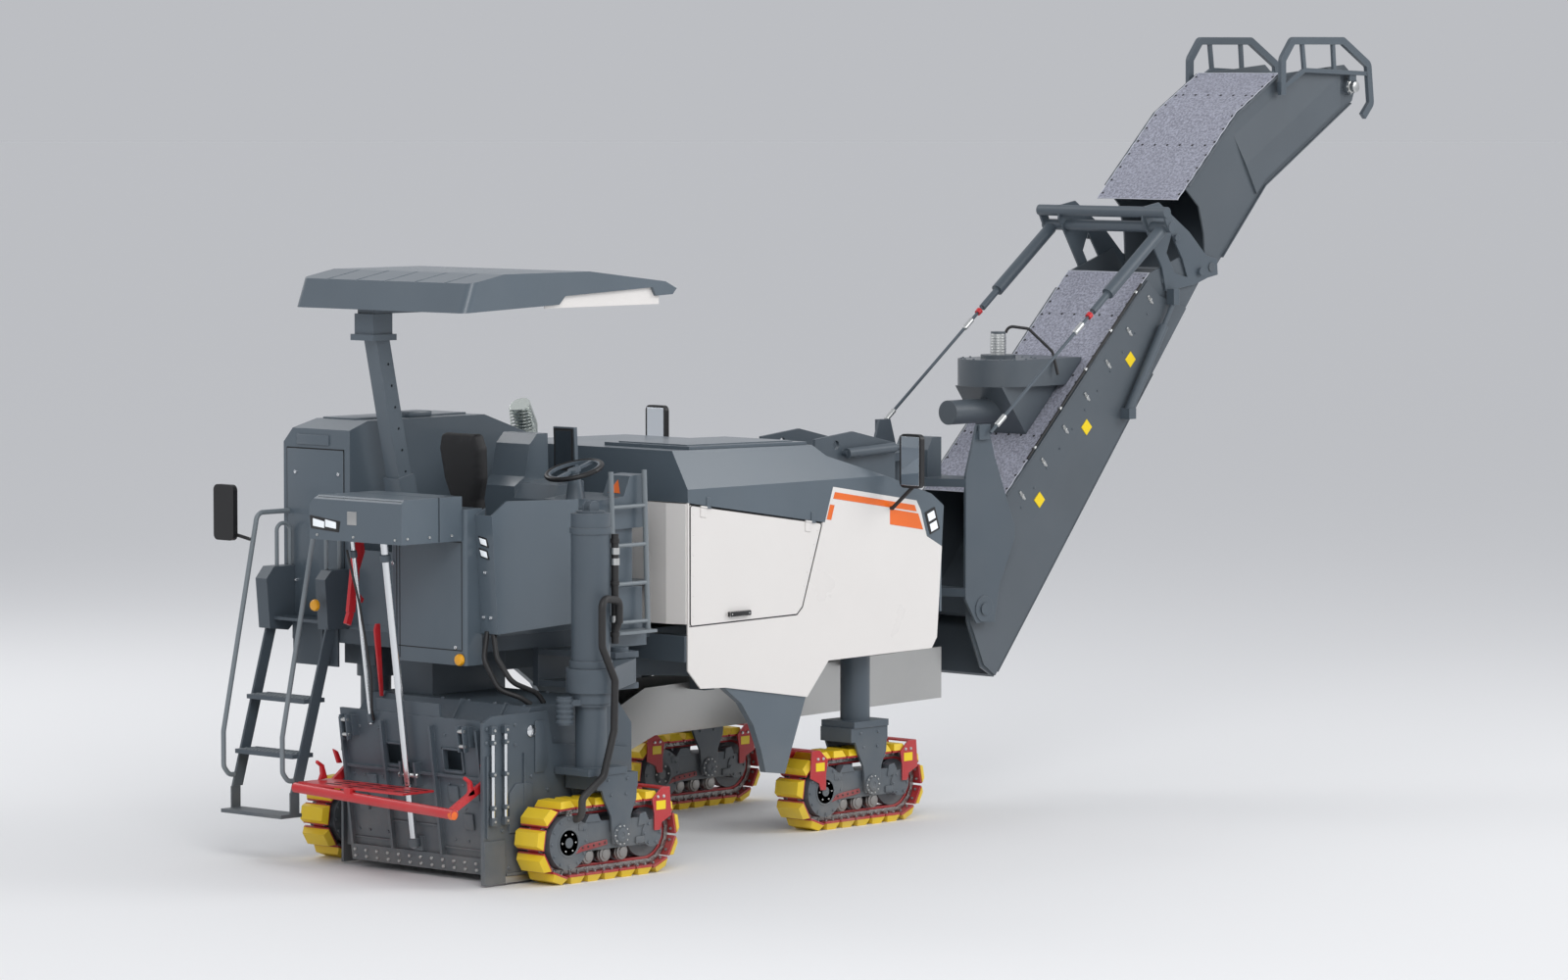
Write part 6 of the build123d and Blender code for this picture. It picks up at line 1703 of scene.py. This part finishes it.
@dataclass
class SkinDressing:
    """Stripes, door seals, handles, lamps and mirrors on the machine's skin."""

    fitter: Fitter
    skin_y: float = 1.050
    stripe: float = 0.0014
    seal_radius: float = 0.0035
    handle_out: float = 0.0295
    handle: tuple[Span, Span] = ((1.7785, 1.9915), (1.5865, 1.6235))
    rivet_inset: float = 0.030
    mirrors: tuple[tuple[Point, int], ...] = (((3.450, -1.250, 2.590), -1),
                                              ((3.450, 1.250, 2.700), -1),
                                              ((-0.780, 1.230, 2.330), 1))
    door: Outline = ((1.414, 2.374), (2.735, 2.180), (2.535, 1.610),
                                             (2.480, 1.560), (1.414, 1.545))

    def build(self) -> None:
        """Dress both sides."""
        for side, word in ((-1, "right"), (1, "left")):
            self._stripes(side, word)
            self._door(side, word)
            self._lamps(side, word)
        self._mirrors()
        self._exhaust()

    def _stripes(self, side: int, word: str) -> None:
        """Paint the two orange stripes and the small block beside the slanted edge.

        Args:
            side, word: The side, 1 on the left, and its name.
        """
        shape, skin = Shape(), (side * self.skin_y, side * (self.skin_y + self.stripe))
        for outline in (UPPER_STRIPE, LOWER_STRIPE, STRIPE_BLOCK):
            shape.prism(outline, "y", skin, 0.0)
        self.fitter.fit(f"orange_stripes_{word}", shape, ORANGE)

    def _door(self, side: int, word: str) -> None:
        """Fit the door's dark seal, its black handle with screws, and its rivets.

        Args:
            side, word: The side, 1 on the left, and its name.
        """
        loop = [(x, side * self.skin_y, z) for x, z in self.door]
        start = between(loop[0], loop[1], 0.5)
        self.fitter.tube(f"door_seal_{word}", [[start, *loop[1:], loop[0], start]], self.seal_radius, SEAL,
                         "chassis", 0.02, 8)
        body = f"door_{word}"
        handle = Shape()
        faces = span(side * (self.skin_y + 0.002), side * (self.skin_y + self.handle_out))
        handle.block(self.handle[0], faces, self.handle[1], 0.006, 2)
        self.fitter.fit(f"door_handle_{word}", handle, BLACK, body)
        screws = [Place((x, side * (self.skin_y + self.handle_out), 1.605), (0.0, side, 0.0))
                  for x in (1.80, 1.97)]
        self.fitter.scatter(f"handle_screws_{word}", Unit.RIVET, screws, BOLT_STEEL, body)
        rivets = []
        for low, high in ((self.door[1], self.door[2]), (self.door[4], self.door[0])):
            for share in spread(0.08, 0.92, 6):
                x, _, z = between((low[0], 0.0, low[1]), (high[0], 0.0, high[1]), share)
                inward = math.copysign(self.rivet_inset, 2.0 - x)
                rivets.append(Place((x + inward, side * self.skin_y, z), (0.0, side, 0.0)))
        self.fitter.scatter(f"door_rivets_{word}", Unit.RIVET, rivets, WHITE, body)

    def _lamps(self, side: int, word: str) -> None:
        """Fit the front corner's bezel with two pale lamps.

        Args:
            side, word: The side, 1 on the left, and its name.
        """
        bezel, lamps = Shape(), Shape()
        y = side * (self.skin_y + 0.001)
        outer = side * (self.skin_y + 0.005)
        corner = Slope((3.850, 2.030), (3.782, 2.226))
        bezel.prism(corner.plate((0.005, 0.175), (-0.125, -0.012)), "y", (y, outer), 0.002, 1)
        for along in (0.020, 0.098):
            lamps.prism(corner.plate((along, along + 0.058), (-0.105, -0.030)), "y",
                        (outer, outer + side * 0.003), 0.001, 1)
        self.fitter.fit(f"corner_bezel_{word}", bezel, BLACK)
        self.fitter.fit(f"corner_lamps_{word}", lamps, LAMP)

    def _mirrors(self) -> None:
        """Lay the mirror glass in its three frames."""
        glass = Shape()
        for (x, y, z), facing in self.mirrors:
            faces = span(x + facing * 0.0195, x + facing * 0.0215)
            glass.block(faces, (y - 0.084, y + 0.084), (z - 0.172, z + 0.172), 0.004, 1)
        self.fitter.fit("mirror_glass", glass, MIRROR)

    def _exhaust(self) -> None:
        """Ring the exhaust pipe's free end."""
        rings = Shape()
        foot, top = Vector((1.500, 0.620, 2.45)), Vector((1.400, 0.590, 3.0))
        axis = tuple((top - foot).normalized())
        for share in spread(0.62, 0.95, 9):
            rings.cut_ring(between(foot, top, share), axis, 0.0752, 0.0795, 0.010)
        self.fitter.fit("exhaust_ribs", rings, STAINLESS)


# ------------------------------------------------------------------ operator's station
SEAT_BACK = ((-0.138, 0.0), (0.138, 0.0), (0.142, 0.190), (0.190, 0.330), (0.208, 0.540),
             (0.172, 0.640), (-0.172, 0.640), (-0.208, 0.540), (-0.190, 0.330), (-0.142, 0.190))


@dataclass
class StationDressing:
    """The padded seat and its post, the wheel's grip, the blank screen and the leg's couplings."""

    fitter: Fitter
    pillar: Point = (0.090, -0.465, 1.860)
    wheel: Point = (0.588, -0.760, 2.640)
    wheel_radius: float = 0.19
    grip_radius: float = 0.0175
    hose: Pair = (0.052, -1.675)
    couplings: tuple[float, ...] = (1.700, 2.080, 2.150)
    cloth_pressure: float = 4.0
    cloth_frames: int = 20
    cloth_voxel: float = 0.009
    cushion_swell: float = 0.010
    back_swell: float = 0.009
    back_foot: Point = (-0.100, -0.465, 2.282)
    back_lean: float = math.radians(-6.9)

    def build(self) -> None:
        """Dress the station and the swing leg's hoses."""
        self._seat()
        self._wheel()
        self._screen()
        couplings = Shape()
        for level in self.couplings:
            couplings.cut_ring((*self.hose, level), UP, 0.0245, 0.0310, 0.045, 20)
        self.fitter.fit("hose_couplings", couplings, BOLT_STEEL, "rear_right_leg")

    def _pad(self, name: str, shape: Shape, cap: float) -> Piece:
        """Puff a shape up with cloth under pressure and keep the result.

        Args:
            name: The pad's name.
            shape: The pad's slack shape.
            cap: How far a point may move.

        Returns:
            The pad.
        """
        pad = shown(name, shape.done(name))
        self._puff(pad, cap)
        pad.data.materials.clear()
        pad.data.materials.append(self.fitter.palette.get(SEAT_CLOTH))
        pad.data.shade_smooth()
        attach(pad, "chassis")
        return pad

    def _puff(self, pad: Piece, cap: float) -> None:
        """Remesh a pad, swell it as cloth under pressure and cap how far it moves.

        Args:
            pad: The pad.
            cap: How far a point may move.
        """
        remesh = pad.modifiers.new("even_mesh", "REMESH")
        remesh.mode = "VOXEL"
        remesh.voxel_size = self.cloth_voxel
        graph = bpy.context.evaluated_depsgraph_get()
        even = bpy.data.meshes.new_from_object(pad.evaluated_get(graph), depsgraph=graph)
        pad.modifiers.clear()
        pad.data = even
        before = [vertex.co.copy() for vertex in even.vertices]
        cloth = pad.modifiers.new("stuffing", "CLOTH")
        cloth.settings.use_pressure = True
        cloth.settings.uniform_pressure_force = self.cloth_pressure
        cloth.settings.effector_weights.gravity = 0.0
        scene = bpy.context.scene
        for frame in range(1, self.cloth_frames + 1):
            scene.frame_set(frame)
        graph = bpy.context.evaluated_depsgraph_get()
        full = bpy.data.meshes.new_from_object(pad.evaluated_get(graph), depsgraph=graph)
        pad.modifiers.clear()
        pad.data = full
        for vertex, start in zip(full.vertices, before):
            moved = vertex.co - start
            if moved.length > cap:
                vertex.co = start + moved.normalized() * cap
        scene.frame_set(1)

    def _seat(self) -> None:
        """Make the cushion, the waisted back and the post under them."""
        cushion = Shape().block((-0.138, 0.318), (-0.688, -0.242), (2.192, 2.278), 0.030, 3)
        pad = self._pad("seat_cushion", cushion, self.cushion_swell)
        back = Shape().prism(SEAT_BACK, "x", (-0.040, 0.040), 0.024, 3)
        lean = Matrix.Rotation(self.back_lean, 4, "Y")
        bmesh.ops.transform(back.mesh, matrix=Matrix.Translation(self.back_foot) @ lean,
                            verts=back.mesh.verts)
        self._pad("seat_back", back, self.back_swell)
        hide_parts("operator_seat")
        x, y, z = self.pillar
        post = Shape()
        post.turned((x, y, z), UP, ((0, 0.100), (0.012, 0.100), (0.016, 0.0595), (0.300, 0.0595)))
        post.block((x - 0.14, x + 0.14), (y - 0.14, y + 0.14), (2.155, 2.181), 0.006, 2)
        for level in spread(0.05, 0.25, 7):
            post.cut_ring((x, y, z + level), UP, 0.058, 0.068, 0.014)
        self.fitter.fit("seat_post", post, BLACK)

    def _wheel(self) -> None:
        """Wrap the wheel's rim in its black grip."""
        tilt = Vector((-0.3, 0.0, 1.0)).to_track_quat("Z", "Y")
        ring = []
        for angle in spread(0.0, math.tau, 37):
            spoke = Vector((math.cos(angle), math.sin(angle), 0.0)) * self.wheel_radius
            ring.append(tuple(Vector(self.wheel) + tilt @ spoke))
        self.fitter.tube("wheel_grip", [ring], self.grip_radius, BLACK, "chassis", 0.0, 12)

    def _screen(self) -> None:
        """Lay a dark blank screen in its case, facing the operator."""
        case = Shape().block((0.8675, 0.8705), (-0.468, -0.282), (2.610, 2.896), 0.002, 1)
        self.fitter.fit("screen_bezel", case, BLACK)
        pane = Shape().block((0.8655, 0.8680), (-0.452, -0.298), (2.640, 2.880), 0.001, 1)
        self.fitter.fit("blank_screen_pane", pane, SCREEN)


@dataclass
class SmallFittings:
    """Tread teeth, rope sleeves, the warning triangle and the conveyor's edge hose."""

    fitter: Fitter
    nodes: dict[str, Piece]
    line: Slope = Slope((5.420, 2.2098), (7.060, 3.8003))
    rope: tuple[Point, Point] = ((6.230, 0.545, 3.540), (5.085, 0.545, 2.690))
    treads: Pair = (0.720, 1.085)
    triangle: Outline = ((-0.985, 2.480), (-0.875, 2.480), (-0.930, 2.575))
    console_lean: float = 23.6
    hose_y: float = -0.408
    hose_lift: float = 0.021

    def _seat(self, node: str, start: Point, way: Point) -> Point | None:
        """Return where a straight line first meets a node, or None."""
        found, point, _, _ = self.nodes[node].ray_cast(start, way)
        return tuple(point) if found else None

    def build(self) -> None:
        """Fit them all."""
        self._treads()
        self._ropes()
        self._triangle()
        self._edge_hose()

    def _treads(self) -> None:
        """Stand rows of grip teeth on the left ladder's two upper treads."""
        places = []
        for level in self.treads:
            middle = -0.520 - (1.620 - level) * 0.298
            for x in spread(middle - 0.07, middle + 0.07, 4):
                for y in spread(0.50, 0.99, 15):
                    seat = self._seat("ladders", (x, y, level + 0.12), DOWN)
                    if seat and abs(seat[2] - level) < 0.06:
                        places.append(Place(seat))
        if places:
            self.fitter.scatter("tread_teeth", Unit.TOOTH, places, RAIL_GREY)

    def _ropes(self) -> None:
        """Slip bright sleeves and red tips on both luffing ropes."""
        sleeves, tips = Shape(), Shape()
        for side in SIDES:
            top, foot = [Vector((x, side * y, z)) for x, y, z in self.rope]
            way = tuple((foot - top).normalized())
            for share in (0.10, 0.86):
                sleeves.turned(between(top, foot, share), way,
                               ((0, 0.015), (0.008, 0.021), (0.110, 0.021), (0.118, 0.015)), 16)
            tips.turned(between(top, foot, 0.02), way, ((0, 0.020), (0.006, 0.026), (0.040, 0.024)), 16)
        self.fitter.fit("rope_sleeves", sleeves, BOLT_STEEL, "conveyor")
        self.fitter.fit("rope_tips", tips, RED, "conveyor")

    def _triangle(self) -> None:
        """Set the plain orange triangle on the right console's rear face."""
        seat = self._seat("consoles", (0.20, -0.930, 2.520), FRONT)
        if seat:
            shape = Shape().prism(self.triangle, "x", (seat[0] - 0.003, seat[0] + 0.001), 0.0)
            shape.turn(self.console_lean, "y", seat)
            self.fitter.fit("plain_triangle", shape, ORANGE)

    def _edge_hose(self) -> None:
        """Run a ribbed hose along the lower section's right top edge, held by clips."""
        route = [self._hose_point(along) for along in (0.35, 0.90, 1.50, 2.15)]
        self.fitter.tube("edge_hose", [route], 0.010, HOSE, "conveyor", 0.05, 10)
        clips = Shape()
        axis = (math.cos(self.line.angle), 0.0, math.sin(self.line.angle))
        for along in spread(0.45, 2.05, 5):
            clips.cut_ring(self._hose_point(along), axis, 0.0095, 0.0125, 0.022, 16)
        self.fitter.fit("edge_hose_clips", clips, BOLT_STEEL, "conveyor")

    def _hose_point(self, along: float) -> Point:
        """Return a point of the hose's run beside the belt."""
        x, z = self.line.at(along, self.hose_lift)
        return x, self.hose_y, z


# ------------------------------------------------------------------ stage
@dataclass
class Studio:
    """The pale floor, the soft lights and the camera."""

    floor_size: float = 1200.0
    camera_at: Point = (-29.738, -31.139, 5.437)
    camera_heading: float = -46.84
    camera_pitch: float = 86.092
    lens: float = 146.25
    room_light: float = 0.62
    horizon_match: float = 0.127
    lamps: tuple[tuple[Point, float, float], ...] = (
        ((-9.0, -13.0, 13.0), 9.0, 1150.0),
        ((14.0, -12.0, 11.0), 8.0, 900.0),
        ((2.0, 14.0, 12.0), 9.0, 700.0),
    )

    def build(self) -> None:
        """Make the floor, the world, the lamps and the camera."""
        self._floor()
        self._world()
        for number, (place, size, power) in enumerate(self.lamps):
            self._lamp(f"softbox_{number}", place, size, power)
        self._camera()

    def _floor(self) -> None:
        """Lay the pale floor under the tracks."""
        half = self.floor_size / 2
        mesh = bpy.data.meshes.new("floor")
        mesh.from_pydata([(-half, -half, 0), (half, -half, 0), (half, half, 0), (-half, half, 0)], [],
                         [(0, 1, 2, 3)])
        floor = shown("floor", mesh)
        material = bpy.data.materials.new("pale_floor")
        material.use_nodes = True
        surface = material.node_tree.nodes["Principled BSDF"]
        surface.inputs["Base Color"].default_value = (0.86, 0.86, 0.86, 1.0)
        surface.inputs["Roughness"].default_value = 0.7
        mesh.materials.append(material)

    def _world(self) -> None:
        """Fill the room with an even pale light."""
        scene = bpy.context.scene
        scene.world = scene.world or bpy.data.worlds.new("studio")
        scene.world.use_nodes = True
        background = scene.world.node_tree.nodes.get("Background")
        if background is None:
            background = scene.world.node_tree.nodes.new("ShaderNodeBackground")
            output = scene.world.node_tree.nodes.new("ShaderNodeOutputWorld")
            scene.world.node_tree.links.new(background.outputs[0], output.inputs[0])
        background.inputs["Color"].default_value = (0.93, 0.95, 1.0, 1.0)
        wiring = Wiring(scene.world.node_tree)
        seen = wiring.add("ShaderNodeLightPath").outputs["Is Camera Ray"]
        dimmed = wiring.maths("MULTIPLY", seen, -self.horizon_match * self.room_light)
        wiring.feed(wiring.maths("ADD", dimmed, self.room_light), background.inputs["Strength"])
        scene.view_settings.view_transform = "Standard"

    def _lamp(self, name: str, place: Point, size: float, power: float) -> None:
        """Hang one soft area light that faces the machine.

        Args:
            name, place: The lamp's name and place.
            size, power: Its width and its power.
        """
        light = bpy.data.lights.new(name, "AREA")
        light.size = size
        light.energy = power
        lamp = shown(name, light)
        lamp.location = place
        lamp.rotation_euler = (Vector((3.0, 0.0, 1.5)) - Vector(place)).to_track_quat("-Z", "Y").to_euler()

    def _camera(self) -> None:
        """Set up the camera behind the machine's rear right corner."""
        camera_data = bpy.data.cameras.new("camera")
        camera_data.lens = self.lens
        camera_data.clip_end = 400.0
        camera = shown("camera", camera_data)
        camera.location = self.camera_at
        camera.rotation_euler = (math.radians(self.camera_pitch), 0.0, math.radians(self.camera_heading))
        bpy.context.scene.camera = camera


# ------------------------------------------------------------------ frame nodes
TRACK_FINISHES = {"_track_pads": PAD_YELLOW, "_track_chain": SHOE_RED, "_undercarriage": CHASSIS}
NODE_FINISHES: dict[Finish, tuple[str, ...]] = {
    SLATE: ("engine_hood", "engine_lid", "lower_fenders", "platform", "rear_cabinet", "rear_cover",
            "left_cabinet", "consoles", "canopy_roof", "canopy_mast", "mast_socket"),
    WHITE: ("side_panels", "service_door_right", "service_door_left", "canopy_liner"),
    CONVEYOR_PAINT: ("lower_conveyor", "upper_conveyor", "suction_fan"),
    DUST_CLOTH: ("lower_cover", "upper_cover"),
    RAIL_GREY: ("ladder_rails", "right_ladder"),
    CAST_GREY: ("milling_drum", "engine_block"),
    BLACK: ("mirrors", "floor_mat"),
    BARE_STEEL: ("collecting_conveyor",),
    CHROME: ("scraper_rods",),
    HOSE: ("leg_hoses",),
    RED: ("red_gear",),
    SEAT_CLOTH: ("operator_seat",),
    STAINLESS: ("exhaust",),
}


@dataclass
class FrameDressing:
    """Gives every node of the frame its finish."""

    palette: Palette
    default: Finish = CHASSIS

    def dress(self, nodes: dict[str, Piece]) -> None:
        """Assign a finish to every node.

        Args:
            nodes: The frame's nodes by name.
        """
        own = {name: finish for finish, names in NODE_FINISHES.items() for name in names}
        for name, node in nodes.items():
            finish = own.get(name, self.default)
            for ending, track_finish in TRACK_FINISHES.items():
                if name.endswith(ending):
                    finish = track_finish
            node.data.materials.clear()
            node.data.materials.append(self.palette.get(finish))
            LOG.info("dressed %s in %s", name, finish.name)


CRAWLERS = (
    ("front_left", "front_left_track", (-1, 1)),
    ("front_right", "front_right_track", (-1, 1)),
    ("rear_left", "rear_left_track", (1,)),
    ("rear_right", "rear_right_leg", (1,)),
)


def main() -> None:
    """Build the looks around the frame."""
    logging.basicConfig(level=logging.INFO, format="%(message)s")
    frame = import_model()
    palette = Palette()
    Studio().build()
    FrameDressing(palette).dress(frame["nodes"])
    fitter = Fitter(palette)
    for name, body, ends in CRAWLERS:
        Crawler(fitter, name, body, ends).build()
    MillingTools(fitter).build()
    ScraperDressing(fitter).build()
    RearBody(fitter).build()
    ConveyorDressing(fitter, frame["nodes"]).build()
    SkinDressing(fitter).build()
    StationDressing(fitter).build()
    SmallFittings(fitter, frame["nodes"]).build()


if __name__ == "__main__":
    main()
